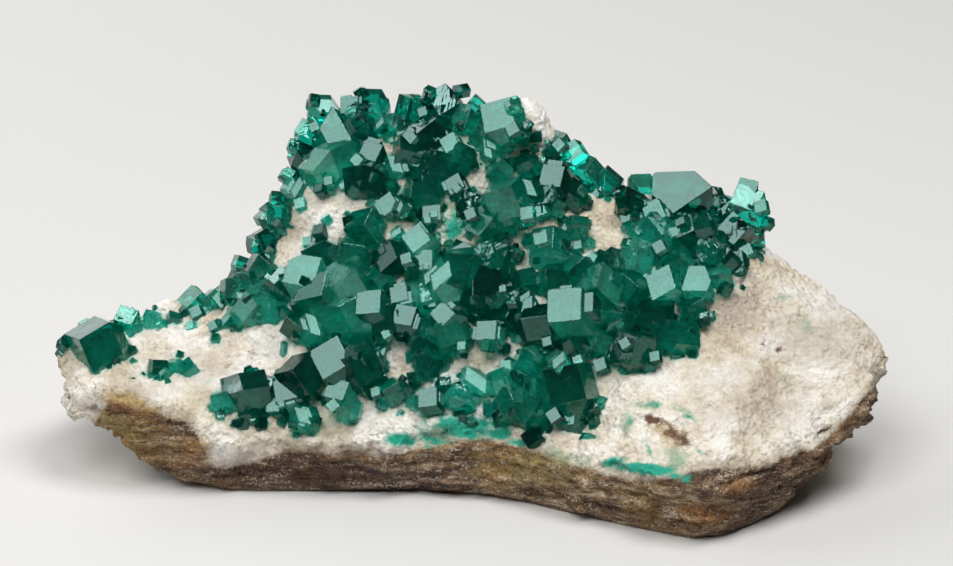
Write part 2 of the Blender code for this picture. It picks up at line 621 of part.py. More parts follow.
def main():
    for old in list(bpy.data.objects):
        bpy.data.objects.remove(old)
    scene = bpy.context.scene.collection
    specimen = bpy.data.collections.new("dioptase_specimen")
    cutters = bpy.data.collections.new("cutters")
    seeds = bpy.data.collections.new("crystal_seeds")
    for collection in (specimen, cutters, seeds):
        scene.children.link(collection)

    body = stone_body(cutters)
    hide_cutter(body)
    rock, crust = part_stone(body, specimen, cutters)
    surface = BVHTree.FromPolygons(
        [v.co for v in body.data.vertices], [p.vertices for p in body.data.polygons]
    )
    grown = grow_crystals(surface, seeds)
    joined = join_crystals(seeds, body, cutters)

    rock.data.materials.clear()
    rock.data.materials.append(material("host_rock_brown", (0.16, 0.11, 0.07), 0.9))
    crust.data.materials.clear()
    crust.data.materials.append(material("calcite_white", (0.8, 0.76, 0.68), 0.6))
    green = material("dioptase_green", (0.0, 0.22, 0.14), 0.05, transmission=1.0, ior=1.67)
    name_crystals(joined, grown, specimen, green)
    for tool in list(cutters.objects) + list(seeds.objects):
        bpy.data.objects.remove(tool)
    centre_on_base(specimen)


main()
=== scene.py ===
# %% [markdown]
# # A dioptase specimen
#
# Dioptase is a copper silicate that grows as short, emerald-green, six-sided crystals. This specimen
# is a carpet of them on a white calcite crust, over a slab of brown host rock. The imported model
# already holds the main solids, so this lesson gives each of them its real surface: thousands of
# small facets, clear green crystal, sugary calcite and bedded rock.

# %% Load the frame and keep the size of the solids
import math
import random

import bpy
import numpy as np
from mathutils import Matrix, Vector
from mathutils.bvhtree import BVHTree


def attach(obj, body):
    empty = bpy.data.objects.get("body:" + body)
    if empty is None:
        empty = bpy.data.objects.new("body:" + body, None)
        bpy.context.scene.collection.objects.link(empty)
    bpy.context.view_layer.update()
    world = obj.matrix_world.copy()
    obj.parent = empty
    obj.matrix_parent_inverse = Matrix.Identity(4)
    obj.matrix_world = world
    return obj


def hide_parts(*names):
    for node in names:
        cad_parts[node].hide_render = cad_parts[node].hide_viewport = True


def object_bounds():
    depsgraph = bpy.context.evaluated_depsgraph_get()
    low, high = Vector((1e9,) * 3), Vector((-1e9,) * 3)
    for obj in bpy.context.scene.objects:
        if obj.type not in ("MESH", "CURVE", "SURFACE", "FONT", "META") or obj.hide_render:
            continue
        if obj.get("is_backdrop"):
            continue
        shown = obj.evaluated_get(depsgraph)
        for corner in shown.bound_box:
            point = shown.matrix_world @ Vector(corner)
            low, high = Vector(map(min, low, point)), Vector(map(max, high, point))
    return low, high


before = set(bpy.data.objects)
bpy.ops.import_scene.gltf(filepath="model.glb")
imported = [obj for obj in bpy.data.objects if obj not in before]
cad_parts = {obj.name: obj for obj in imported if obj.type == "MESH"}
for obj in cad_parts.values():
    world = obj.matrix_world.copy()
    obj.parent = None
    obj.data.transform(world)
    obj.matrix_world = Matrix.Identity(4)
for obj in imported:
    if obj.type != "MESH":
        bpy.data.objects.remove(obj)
cad_box = [list(corner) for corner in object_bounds()]
MM = 0.001
print("nodes:", sorted(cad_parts))

# %% [markdown]
# ## Camera and light
#
# A mineral is shown off by its reflections: one broad lamp high in front makes every crystal face
# that is turned the same way flash together. Three more lamps, on the left, behind on the left and
# above, pick out other faces. The camera is a long lens, a little above the specimen.

# %% The camera
VIEW_TILT = math.radians(22)
VIEW_DISTANCE = 900 * MM
VIEW_AIM = Vector((1.04, -8.53, 36.0)) * MM
RIGHT = Vector((1, 0, 0))
UPWARD = Vector((0, math.sin(VIEW_TILT), math.cos(VIEW_TILT)))
TOWARDS = Vector((0, -math.cos(VIEW_TILT), math.sin(VIEW_TILT)))
EYE = VIEW_AIM + VIEW_DISTANCE * TOWARDS


def link_new(name, data):
    """Makes an object for some data and adds it to the scene."""
    made = bpy.data.objects.new(name, data)
    bpy.context.scene.collection.objects.link(made)
    return made


camera = link_new("camera", bpy.data.cameras.new("camera"))
camera.data.lens = 200
camera.data.sensor_width = 36
camera.data.clip_start = 0.01
camera.location = EYE
camera.rotation_euler = (math.pi / 2 - VIEW_TILT, 0, 0)
bpy.context.scene.camera = camera
# Photographs of minerals are printed with full contrast, so the colours are shown as they are.
bpy.context.scene.view_settings.view_transform = "Standard"
print("camera at", [round(c, 3) for c in camera.location])

# %% The lamps and the floor
# Many crystals of a druse lie parallel: this is the way that their common face looks.
FLASH = Vector((-0.127, -0.765, 0.632)).normalized()


def linear(hex_code):
    """Turns an sRGB hex colour into the linear numbers that Blender works with."""
    channels = [int(hex_code[i:i + 2], 16) / 255 for i in (1, 3, 5)]
    return tuple(c / 12.92 if c <= 0.04045 else ((c + 0.055) / 1.055) ** 2.4 for c in channels)


def add_lamp(name, direction, distance, size, energy):
    """Adds a square softbox that looks at the specimen from a direction, in metres and watts."""
    lamp = link_new(name, bpy.data.lights.new(name, "AREA"))
    lamp.data.size = size
    lamp.data.energy = energy
    lamp.location = VIEW_AIM + direction.normalized() * distance
    lamp.rotation_euler = (-direction).to_track_quat("-Z", "Y").to_euler()
    lamp.visible_camera = False


mirrored = 2 * FLASH.dot(TOWARDS) * FLASH - TOWARDS
add_lamp("key_lamp", mirrored, 0.8, 0.52, 4.6)
add_lamp("side_lamp", Vector((-0.85, 0.25, 0.45)), 0.8, 0.65, 2.4)
add_lamp("back_lamp", Vector((-0.5, 0.83, 0.3)), 0.8, 0.7, 3.0)
add_lamp("top_lamp", Vector((0.35, -0.1, 1.0)), 1.0, 0.5, 7.2)

world = bpy.data.worlds.new("studio")
bpy.context.scene.world = world
world.use_nodes = True
world.node_tree.nodes["Background"].inputs["Color"].default_value = (*linear("#C9CCD0"), 1)
world.node_tree.nodes["Background"].inputs["Strength"].default_value = 0.06

bpy.ops.object.select_all(action="DESELECT")
bpy.ops.mesh.primitive_plane_add(size=6, location=(0, 0, 0))
floor = bpy.context.object
floor.name = "floor"
bpy.ops.object.transform_apply(location=True, rotation=True, scale=True)
floor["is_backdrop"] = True
print("key lamp from", [round(c, 2) for c in mirrored])

# %% [markdown]
# ## Finding a place by looking
#
# Crystals are placed the way a collector would point at them: so many millimetres across and up in
# the display view. A line of sight through that point is followed until it meets the stone.

# %% Lines of sight
# What the camera aims at is called (1.4, 33.4) in the display view.
AIM_ACROSS = 1.4
AIM_UP = 33.4
# How far before and behind the aim a line that misses is searched, in mm.
SIGHT_SEARCH = 60


def tree_of(objects):
    """A search tree over the faces of some objects, whose meshes all lie in place."""
    corners, faces = [], []
    for piece in objects:
        first = len(corners)
        corners += [v.co.copy() for v in piece.data.vertices]
        faces += [[first + i for i in face.vertices] for face in piece.data.polygons]
    return BVHTree.FromPolygons(corners, faces)


def sight(across, up, surface):
    """The place where the line of sight through (across, up) meets the surface, or passes nearest."""
    aim = VIEW_AIM + (RIGHT * (across - AIM_ACROSS) + UPWARD * (up - AIM_UP)) * MM
    line = (aim - EYE).normalized()
    hit, normal, _, _ = surface.ray_cast(EYE, line)
    if hit is not None:
        return hit, normal
    best = None
    for step in range(-SIGHT_SEARCH, SIGHT_SEARCH + 1):
        point = aim + line * step * MM
        _, normal, _, distance = surface.find_nearest(point)
        if best is None or distance < best[0]:
            best = (distance, point, normal)
    return best[1], best[2]


def seen_at(points):
    """Where points in metres, one a row, appear in the display view: (across, up) in millimetres."""
    offset = points - np.array(EYE)
    scale = VIEW_DISTANCE / -(offset @ np.array(TOWARDS)) / MM
    across = AIM_ACROSS + offset @ np.array(RIGHT) * scale
    up = AIM_UP + offset @ np.array(UPWARD) * scale
    return across, up


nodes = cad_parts
crystal_nodes = sorted(name for name in nodes if name.startswith("dioptase"))
stone = tree_of([nodes["host_rock"], nodes["calcite_crust"]])
print("stone met at", [round(c / MM, 1) for c in sight(0, 20, stone)[0]], "mm")

# %% [markdown]
# ## One crystal, modelled once
#
# A dioptase crystal is a hexagonal prism closed at each end by three slanting faces. It starts as a
# six-sided cylinder, one corner on the X axis, and six bisect cuts trim its ends. The cuts at the two
# ends are turned sixty degrees from each other, as in the real crystal. Large crystals also get the
# finest bevel, because real edges catch a thin line of light. Every other crystal is a copy.

# %% The pattern crystals
RHOMB_TILT = math.radians(50.96)


def work_on(piece):
    """Selects one object alone and makes it the active one."""
    bpy.ops.object.select_all(action="DESELECT")
    piece.select_set(True)
    bpy.context.view_layer.objects.active = piece


def apply_modifier(piece, kind, **settings):
    """Adds a modifier, sets it up and applies it."""
    modifier = piece.modifiers.new(kind, kind)
    for key, value in settings.items():
        setattr(modifier, key, value)
    work_on(piece)
    bpy.ops.object.modifier_apply(modifier=modifier.name)


def pattern_crystal(half, bevel):
    """A crystal of radius 1 on the Z axis, with its tips at `half` above and below the origin."""
    bpy.ops.object.select_all(action="DESELECT")
    bpy.ops.mesh.primitive_cylinder_add(vertices=6, radius=1, depth=2 * half)
    piece = bpy.context.object
    corner = max((v.co for v in piece.data.vertices), key=lambda co: co.x)
    piece.rotation_euler.z = -math.atan2(corner.y, corner.x)
    bpy.ops.object.transform_apply(location=False, rotation=True, scale=False)
    bpy.ops.object.mode_set(mode="EDIT")
    for end in (1, -1):
        for third in range(3):
            angle = math.radians(120 * third + (0 if end > 0 else 60))
            tilt = math.sin(RHOMB_TILT)
            normal = (tilt * math.cos(angle), tilt * math.sin(angle), end * math.cos(RHOMB_TILT))
            bpy.ops.mesh.select_all(action="SELECT")
            bpy.ops.mesh.bisect(
                plane_co=(0, 0, end * half), plane_no=normal, use_fill=True, clear_outer=True
            )
    if bevel:
        bpy.ops.mesh.select_all(action="SELECT")
        bpy.ops.mesh.bevel(offset=bevel, segments=1, affect="EDGES")
    bpy.ops.object.mode_set(mode="OBJECT")
    return piece


def keep_local_places(piece):
    """Stores each face corner's place on the crystal itself, for the growth lines to follow."""
    mesh = piece.data
    local = mesh.attributes.new("local_place", "FLOAT_VECTOR", "CORNER")
    local.data.foreach_set("vector", [c for loop in mesh.loops for c in mesh.vertices[loop.vertex_index].co])


BEVEL = 0.012
patterns = {}


def pattern_for(stretch, large):
    """The pattern crystal of a length, made on its first use."""
    key = (round(max(stretch, 1.0), 1), large)
    if key not in patterns:
        piece = pattern_crystal(key[0], BEVEL if large else 0)
        keep_local_places(piece)
        piece.hide_render = True
        patterns[key] = piece
    return patterns[key]


print("faces of a small crystal:", len(pattern_for(1.4, False).data.polygons))
print("faces of a large crystal:", len(pattern_for(1.4, True).data.polygons))

# %% [markdown]
# ## The large crystals
#
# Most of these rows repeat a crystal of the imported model, so that the dressed one lies on its solid.
# Some are moved, turned or resized a little for a closer likeness, and the last six are new. A row is
# (across, up, radius, pose, turn, stretch), in millimetres and degrees. An "end" crystal turns a
# slanting face to the light and a "side" crystal a prism face, while a "prism" crystal turns an edge
# to it. A "tip" crystal points its end at the viewer, and a "free" crystal leans out from the stone.

# %% The table of large crystals
# The last number, where there is one, widens the bright face.
LARGE_CRYSTALS = (
    # left end
    (-65.6, 23.8, 4.9, "tip", 71, 1.3), (-58.0, 26.0, 2.4, "free", 10, 1.5),
    (-59.0, 22.4, 1.6, "free", 35, 1.5),
    # left ridge
    (-53.6, 27.0, 1.6, "free", 5, 1.4), (-46.6, 28.8, 3.2, "free", 10, 1.3),
    (-43.9, 28.6, 2.6, "free", 0, 1.5), (-41.6, 30.8, 2.6, "end", 40, 1.3),
    (-40.2, 28.0, 1.6, "prism", -35, 2.1), (-37.0, 28.3, 3.0, "free", 60, 1.5),
    (-35.4, 31.4, 2.4, "free", 15, 1.5), (-33.2, 28.6, 2.6, "free", 70, 1.5),
    (-38.6, 33.4, 2.4, "free", 20, 1.4), (-34.6, 36.0, 2.8, "free", 40, 1.4),
    (-33.6, 40.6, 2.5, "free", 10, 1.4), (-31.2, 45.0, 2.8, "free", 30, 1.5),
    (-29.0, 49.6, 2.4, "side", 30, 1.2), (-27.6, 54.0, 2.6, "free", 50, 1.4),
    (-31.6, 32.6, 2.8, "free", 33, 1.4),
    # left shelf
    (-52.5, 18.6, 1.8, "free", 20, 1.4), (-50.0, 18.8, 1.6, "free", 60, 1.4),
    (-47.8, 18.6, 1.7, "free", 15, 1.4),
    # front left
    (-37.8, 14.6, 3.4, "free", 50, 1.5), (-41.2, 13.2, 2.0, "free", 50, 1.4),
    (-37.0, 10.6, 1.5, "free", 10, 1.4), (-33.2, 12.6, 1.7, "free", 25, 1.5),
    (-31.0, 15.4, 3.0, "end", 12, 1.3), (-27.6, 17.2, 3.8, "free", 15, 1.5),
    (-28.2, 11.0, 2.3, "side", 80, 1.3), (-31.2, 11.4, 1.6, "free", 30, 1.4),
    (-34.6, 15.6, 2.0, "free", 65, 1.4),
    # left of the mound
    (-26.3, 26.4, 3.0, "side", 75, 1.2), (-22.3, 27.8, 3.6, "free", 90, 1.6),
    (-23.4, 20.8, 4.4, "end", 30, 1.3), (-19.6, 25.2, 3.0, "free", 15, 1.4),
    (-16.2, 20.2, 2.2, "side", 8, 1.3), (-22.3, 15.4, 2.7, "end", -15, 1.4),
    (-18.2, 17.8, 4.1, "free", 50, 1.5), (-20.4, 12.0, 2.3, "free", 35, 1.5),
    (-25.6, 31.2, 3.8, "free", 25, 1.4), (-21.4, 33.4, 3.6, "free", 10, 1.5),
    (-28.1, 35.6, 4.3, "end", -12, 1.5), (-24.2, 37.2, 3.2, "free", 60, 1.4),
    (-16.9, 30.2, 3.3, "end", 2, 1.3), (-11.8, 31.6, 2.3, "end", 12, 1.3),
    (-10.9, 28.0, 2.8, "end", -12, 1.3), (-14.2, 27.2, 3.0, "free", 40, 1.4),
    (-6.8, 19.6, 2.5, "free", 75, 1.4), (-19.6, 37.6, 2.8, "free", 5, 1.5),
    (-13.2, 37.4, 3.0, "free", 55, 1.5), (-17.4, 42.6, 3.2, "free", 20, 1.4),
    (-28.2, 25.4, 2.6, "free", 80, 1.5), (-18.6, 22.8, 2.6, "free", 28, 1.4),
    (-15.0, 33.8, 2.4, "free", 12, 1.4),
    # crest of the mound
    (-22.5, 58.6, 3.6, "side", 30, 1.75), (-20.2, 63.6, 2.4, "end", 5, 1.3),
    (-24.6, 62.2, 2.7, "free", 40, 1.4), (-16.2, 62.6, 2.8, "free", 10, 1.4),
    (-18.0, 59.4, 3.5, "free", 70, 1.4), (-13.8, 59.6, 2.4, "free", 22, 1.4),
    (-16.6, 55.8, 2.6, "end", -20, 1.3), (-12.4, 53.6, 2.4, "side", 78, 1.3),
    (-23.6, 53.0, 3.6, "free", 15, 1.5), (-17.0, 50.6, 3.3, "free", 45, 1.4),
    (-27.2, 58.6, 2.2, "free", 5, 1.4), (-13.8, 46.8, 2.4, "end", 35, 1.3),
    (-8.3, 61.8, 3.0, "free", 30, 1.5), (-4.2, 62.8, 3.2, "free", 55, 1.5),
    (-2.8, 62.6, 2.2, "end", 8, 1.2), (-5.8, 58.6, 3.2, "free", 12, 1.5),
    (-3.2, 57.2, 2.2, "end", 30, 1.2), (-9.8, 54.8, 3.0, "free", 65, 1.4),
    (4.9, 61.8, 4.2, "end", 14, 1.3), (3.8, 58.0, 3.0, "side", 66, 1.2),
    (0.0, 60.4, 2.8, "free", 30, 1.4), (-5.6, 53.0, 2.8, "free", 0, 1.4),
    (-1.2, 54.2, 2.6, "free", 50, 1.4),
    # middle of the mound
    (-7.6, 48.6, 3.2, "free", 20, 1.5), (-8.9, 41.0, 3.0, "end", 38, 1.3),
    (0.4, 46.6, 2.4, "free", 60, 1.4), (3.0, 43.0, 2.8, "free", 10, 1.5),
    (6.4, 46.2, 4.0, "free", 75, 1.5), (5.4, 51.8, 2.2, "free", 30, 1.4),
    (-0.8, 38.6, 2.3, "end", -45, 1.3, 1.5), (-4.4, 34.8, 3.6, "side", 12, 1.3),
    (2.2, 31.4, 4.0, "free", 35, 1.5), (4.8, 38.2, 3.4, "free", 15, 1.4),
    (-7.8, 36.2, 2.6, "free", 65, 1.4), (-7.2, 31.0, 2.8, "free", 25, 1.4),
    (-4.4, 28.2, 2.6, "end", 45, 1.4), (-3.2, 25.0, 3.0, "free", 85, 1.4),
    (3.0, 25.4, 2.7, "end", 0, 1.3), (-7.6, 24.4, 2.8, "free", 45, 1.4),
    (9.6, 29.4, 2.4, "side", 4, 1.4), (6.8, 27.6, 2.6, "free", 20, 1.4),
    (-6.4, 44.2, 2.3, "free", 70, 1.4), (-2.4, 50.2, 2.2, "end", 30, 1.2),
    (-2.0, 22.4, 1.6, "free", 55, 1.4),
    # right shoulder
    (17.5, 55.8, 2.4, "end", 35, 1.2), (14.8, 56.2, 2.3, "free", 20, 1.4),
    (14.1, 51.6, 3.0, "end", -10, 1.3), (19.2, 51.6, 2.9, "free", 30, 1.5),
    (10.2, 49.6, 2.4, "side", 80, 1.3), (23.4, 48.9, 2.8, "free", 30, 1.5),
    (17.6, 47.8, 2.4, "free", 10, 1.4), (18.2, 42.6, 2.1, "free", 0, 1.4),
    (13.8, 38.6, 3.4, "free", 45, 1.4), (10.0, 53.2, 2.2, "free", 60, 1.4),
    (13.2, 48.2, 2.2, "free", 33, 1.4),
    # right peak
    (35.0, 49.9, 6.0, "end", -48, 1.2, 1.15), (29.8, 48.9, 2.5, "free", 20, 1.5),
    (27.8, 46.4, 2.6, "free", 50, 1.4), (47.1, 49.4, 2.8, "end", -17, 1.4),
    (47.2, 45.2, 3.4, "free", 10, 1.4), (44.0, 46.4, 2.3, "side", 12, 1.2),
    (31.4, 45.4, 2.6, "end", 25, 1.2), (31.2, 41.6, 3.0, "free", 70, 1.4),
    (34.4, 42.0, 2.4, "side", -15, 1.3), (32.2, 38.8, 2.4, "free", 30, 1.4),
    (44.6, 41.2, 3.3, "free", 85, 1.4), (48.2, 41.6, 2.2, "free", 40, 1.4),
    (45.2, 37.4, 2.2, "end", 10, 1.2), (42.6, 34.2, 2.3, "free", 20, 1.4),
    (38.4, 41.6, 3.4, "free", 15, 1.4), (40.6, 37.8, 2.8, "free", 55, 1.4),
    (38.9, 34.2, 3.3, "end", -8, 1.2, 1.2), (32.5, 33.5, 3.3, "end", 24, 1.2, 1.15),
    (28.6, 37.6, 3.0, "free", 35, 1.5), (28.0, 32.4, 2.8, "free", 80, 1.4),
    (36.9, 29.2, 2.7, "tip", 70, 1.2), (34.8, 23.8, 3.3, "free", 62, 1.5),
    (28.0, 21.6, 3.6, "free", 25, 1.4), (31.4, 27.4, 3.2, "free", 60, 1.4),
    (25.8, 25.6, 2.8, "free", 15, 1.4), (40.6, 44.8, 2.6, "free", 42, 1.4),
    (24.6, 36.4, 2.8, "free", 50, 1.4),
    # right of the centre
    (16.2, 29.7, 4.6, "end", 3, 1.3), (22.2, 32.2, 4.0, "free", 30, 1.5),
    (22.8, 27.6, 3.2, "free", 65, 1.4), (18.6, 35.0, 3.0, "free", 10, 1.4),
    (9.8, 33.4, 2.2, "free", 40, 1.4), (11.2, 26.0, 3.2, "free", 5, 1.5),
    (17.6, 22.6, 2.8, "free", 75, 1.4), (10.6, 20.2, 2.5, "free", 50, 1.4),
    (21.6, 22.8, 2.4, "free", 20, 1.4), (14.4, 33.8, 2.8, "free", 60, 1.4),
    # front middle
    (1.3, 17.0, 1.9, "side", 56, 2.0), (6.2, 16.6, 2.4, "free", 60, 1.4),
    (7.0, 12.4, 2.9, "free", 15, 1.4), (10.2, 11.2, 2.8, "free", 45, 1.4),
    (17.0, 14.4, 4.6, "free", 70, 1.4), (17.4, 9.8, 2.1, "free", 10, 1.4),
    (11.6, 15.4, 2.2, "free", 33, 1.4), (-6.9, 14.0, 2.5, "end", 5, 1.3),
    (-12.4, 14.8, 2.3, "free", 5, 1.4), (-1.6, 13.4, 2.2, "free", 40, 1.4),
    # alone on the calcite
    (-31.3, 22.2, 0.9, "prism", 0, 2.1), (22.3, 19.6, 1.6, "end", 20, 1.2),
    (20.3, 6.6, 1.1, "free", 30, 1.4),
    # between the others: on the left ridge, in the centre and on the right peak
    (-39.4, 31.4, 2.6, "free", 25, 1.4), (-36.8, 33.4, 2.4, "free", 50, 1.4),
    (-37.8, 30.2, 2.0, "free", 70, 1.4), (-0.8, 35.6, 4.0, "free", 25, 1.4),
    (40.4, 46.4, 3.2, "free", 20, 1.2), (35.8, 36.8, 2.6, "free", 35, 1.4),
)
print(len(LARGE_CRYSTALS), "large crystals")

# %% Standing a crystal in its place
# The radius of each pose, as a share of the table's.
GROWTH = {"end": 1.08, "side": 1.08, "prism": 1.0, "tip": 1.08, "free": 1.17}
END_FACE = Vector((math.sin(RHOMB_TILT), 0, math.cos(RHOMB_TILT)))
END_UPWARD = Vector((-math.cos(RHOMB_TILT), 0, math.sin(RHOMB_TILT)))
SIDE_FACE = Vector((math.cos(math.pi / 6), math.sin(math.pi / 6), 0))
SIDE_UPWARD = Vector((0, 0, 1))
PRISM_EDGE = Vector((1, 0, 0))
FLASH_SPREAD = math.radians(4)
TIP_LEAN = math.radians(28)
# How far towards the viewer a tip, a bright face or a centre stands from the stone, in radii.
TIP_PROUD = 1.5
END_PROUD = 1.2
FREE_PROUD = 0.12
# How far a free crystal strays from the stone's normal, and how far it leans to the viewer.
FREE_SHAKE = 0.9
FREE_LEAN = 0.2
# The shades of a crystal's faces go round in steps of the golden ratio, so that they differ:
# painted reflection, each face lighter or darker than its neighbours.
GOLDEN = 0.618
PAINTED_FACE_SPREAD = 0.5


def frame_from(direction, outward):
    """A rotation whose columns are a direction, the one across it, and the outward normal."""
    across = outward.cross(direction).normalized()
    return Matrix((direction, across, outward)).transposed()


def in_plane(outward, turn):
    """A direction in a face, `turn` degrees anticlockwise from upright as the viewer sees it."""
    upright = (UPWARD - outward * UPWARD.dot(outward)).normalized()
    return Matrix.Rotation(math.radians(turn), 3, outward) @ upright


def crystal_place(row, size, surface, dice):
    """The rotation and the centre of one crystal of a table."""
    across, up, _, pose, turn, stretch = row[:6]
    half = size * max(stretch, 1.0)
    spot, normal = sight(across, up, surface)
    shake = Vector([dice.uniform(-1, 1) for _ in range(3)])
    if pose == "free":
        axis = (normal + shake * FREE_SHAKE + TOWARDS * FREE_LEAN).normalized()
        side = Matrix.Rotation(math.radians(turn), 3, axis) @ axis.orthogonal().normalized()
        return frame_from(side, axis), spot + TOWARDS * size * FREE_PROUD
    if pose == "tip":
        lean = in_plane(TOWARDS, turn)
        axis = TOWARDS * math.cos(TIP_LEAN) + lean * math.sin(TIP_LEAN)
        turned = frame_from((-lean + axis * lean.dot(axis)).normalized(), axis)
        return turned, spot + TOWARDS * size * TIP_PROUD - axis * half
    outward = (FLASH + shake * FLASH_SPREAD).normalized()
    if pose == "end":
        face_centre = Vector((size / 2, 0, half - size * math.tan(RHOMB_TILT) / 2))
        seen = frame_from(in_plane(outward, turn + 45), outward)
        turned = seen @ frame_from(END_UPWARD, END_FACE).transposed()
    elif pose == "side":
        face_centre = SIDE_FACE * size * math.cos(math.pi / 6)
        seen = frame_from(in_plane(outward, turn), outward)
        turned = seen @ frame_from(SIDE_UPWARD, SIDE_FACE).transposed()
    else:
        face_centre = PRISM_EDGE * size
        seen = frame_from(in_plane(outward, turn), outward)
        turned = seen @ frame_from(SIDE_UPWARD, PRISM_EDGE).transposed()
    return turned, spot + TOWARDS * size * END_PROUD - turned @ face_centre


def crystal_copy(turned, centre, size, stretch, shade, large=False, widen=1.0, sideways=(0, 1, 0)):
    """A copy of the pattern crystal with its own mesh, scaled, turned and moved into place.

    Each face gets a shade of its own about the crystal's tone: painted reflection, for the light
    that each face brings out of the crystal.
    """
    mesh = pattern_for(stretch, large).data.copy()
    mesh.transform(Matrix.Scale(widen, 4, sideways))
    mesh.transform(Matrix.Translation(centre) @ turned.to_4x4() @ Matrix.Scale(size, 4))
    faces = range(len(mesh.polygons))
    # the spread of the shades over the faces is painted reflection
    shades = [shade + ((shade * 7 + face * GOLDEN) % 1 - 0.5) * PAINTED_FACE_SPREAD for face in faces]
    mesh.attributes.new("shade", "FLOAT", "FACE").data.foreach_set("value", shades)
    return link_new("crystal", mesh)


def grow(rows, surface, dice, shades, large=False):
    """Makes the crystals of a table: each with its centre, size, rotation, pose and stretch."""
    made = []
    for row in rows:
        size = row[2] * GROWTH[row[3]] * MM
        turned, centre = crystal_place(row, size, surface, dice)
        widen = row[6] if len(row) > 6 else 1.0
        sideways = SIDE_FACE.cross(SIDE_UPWARD) if row[3] == "side" else (0, 1, 0)
        piece = crystal_copy(turned, centre, size, row[5], shades.random(), large, widen, sideways)
        made.append((piece, centre, size, turned, row[3], row[5]))
    return made


shade_dice = random.Random(5)
grown = grow(LARGE_CRYSTALS, stone, random.Random(17), shade_dice, large=True)
print("grown:", len(grown), "crystals")

# %% [markdown]
# ## Corners cut off
#
# Not every bright face is whole: on some large crystals a smaller face cuts a corner off. A bisect
# along the line of sight does the same, so the cut lies where the viewer sees it.

# %% Cutting corners off the bright faces
# A row is the crystal's place, then a point of the cut in the display view, and the way the cut
# looks, in degrees anticlockwise from upright.
CUTS = (
    ((35.0, 49.9), 36.0, 52.4, 2), ((35.0, 49.9), 31.3, 49.5, 88), ((47.1, 49.4), 49.3, 49.5, -92),
    ((-23.4, 20.8), -19.7, 20.0, -60), ((38.9, 34.2), 41.3, 33.4, -70), ((-28.1, 35.6), -28.4, 38.3, 25),
    ((-22.5, 58.6), -24.4, 61.4, 60),
)


def cut_corner(piece, across, up, turn):
    """Cuts a crystal along the line of sight through (across, up), and closes the cut."""
    toward = (EYE - sight(across, up, stone)[0]).normalized()
    work_on(piece)
    bpy.ops.object.mode_set(mode="EDIT")
    bpy.ops.mesh.select_all(action="SELECT")
    bpy.ops.mesh.bisect(
        plane_co=EYE - toward * VIEW_DISTANCE, plane_no=in_plane(toward, turn),
        use_fill=True, clear_outer=True,
    )
    bpy.ops.object.mode_set(mode="OBJECT")


by_place = {row[:2]: made[0] for row, made in zip(LARGE_CRYSTALS, grown)}
for place, across, up, turn in CUTS:
    before = len(by_place[place].data.polygons)
    cut_corner(by_place[place], across, up, turn)
    print("cut at", place, "faces", before, "to", len(by_place[place].data.polygons))

# %% [markdown]
# ## The darkest crystals, in painted shade
#
# A few large crystals look almost black. The material reads a shade from each face, so lower
# shades paint that darkness into their colour: painted shade.

# %% Painting shade on the darkest crystals
# How much each crystal's shades are lowered, by its place: painted shade.
PAINTED_SHADE_DEPTH = {
    (17.0, 14.4): 0.35, (-65.6, 23.8): 0.2, (34.8, 23.8): 0.2, (28.0, 21.6): 0.15, (31.4, 27.4): 0.15,
}
for place, less in PAINTED_SHADE_DEPTH.items():
    for face in by_place[place].data.attributes["shade"].data:
        face.value -= less
print("shaded_darker:", len(PAINTED_SHADE_DEPTH), "crystals")

# %% [markdown]
# ## Bare calcite between the crystals
#
# The druse is not closed: white calcite shows through in many places. No small crystal grows where
# the display view should look through to it.

# %% The gaps
GAPS = (
    # across, up, half width, half height
    (-17.0, 47.8, 4.2, 1.8), (-23.0, 41.8, 2.6, 3.0), (-21.0, 38.5, 1.6, 2.2), (-14.0, 43.2, 1.6, 1.6),
    (-15.5, 35.0, 1.2, 1.2), (-2.2, 43.6, 1.4, 2.4), (3.5, 51.0, 1.6, 1.0), (9.4, 35.0, 2.2, 3.2),
    (18.6, 44.8, 2.4, 1.5), (24.0, 43.4, 2.5, 3.8), (20.3, 38.9, 2.4, 1.5), (-13.0, 24.0, 1.3, 1.3),
    (-12.5, 18.6, 1.6, 1.6), (-16.5, 11.0, 2.4, 1.2), (3.0, 19.6, 3.4, 2.4), (11.0, 17.5, 1.0, 1.3),
    (22.5, 22.0, 1.3, 1.3), (-27.0, 12.4, 1.5, 1.3), (-30.0, 19.5, 2.5, 2.5), (-1.0, 11.6, 3.0, 1.2),
    (-8.0, 11.4, 2.0, 1.2), (-32.0, 22.6, 2.4, 3.2), (-33.0, 26.6, 1.3, 2.4), (2.2, 20.6, 3.2, 3.6),
)


def in_gap(point):
    """Whether a point covers one of the gaps in the display view."""
    across, up = (values[0] for values in seen_at(np.array([point])))
    return any(
        ((across - row[0]) / row[2]) ** 2 + ((up - row[1]) / row[3]) ** 2 < 1 for row in GAPS
    )


print(len(GAPS), "gaps kept open")

# %% [markdown]
# ## Steps and side growths
#
# No large dioptase is a perfect block. Its bright faces end in low steps, where a second crystal grew
# parallel to the first and a little behind it, and smaller crystals sit on its sides. The steps share
# the parent's rotation, so they flash with it.

# %% Growing steps and side crystals
STEP_FROM = 2.0 * MM
STEPS = 2
# The least and the most of a step's size, its drop and its shift, in sizes of the parent.
STEP_SHARE = (0.5, 0.8)
STEP_DROP = (0.05, 0.16)
STEP_SHIFT = (0.35, 0.65)
SIDE_GROWTHS = 7
# The least and the most of a side growth's size and of its distance from the parent's centre.
SIDE_SHARE = (0.16, 0.38)
SIDE_REACH = (0.7, 0.92)
SIDE_STRETCH = 1.3
# A side growth that looks more than this towards the light would hide the bright face.
KEEP_CLEAR = 0.1


def random_turn(axis, dice):
    """A rotation that stands a crystal along an axis, turned anyhow."""
    side = Matrix.Rotation(dice.uniform(0, math.tau), 3, axis) @ axis.orthogonal().normalized()
    return frame_from(side, axis)


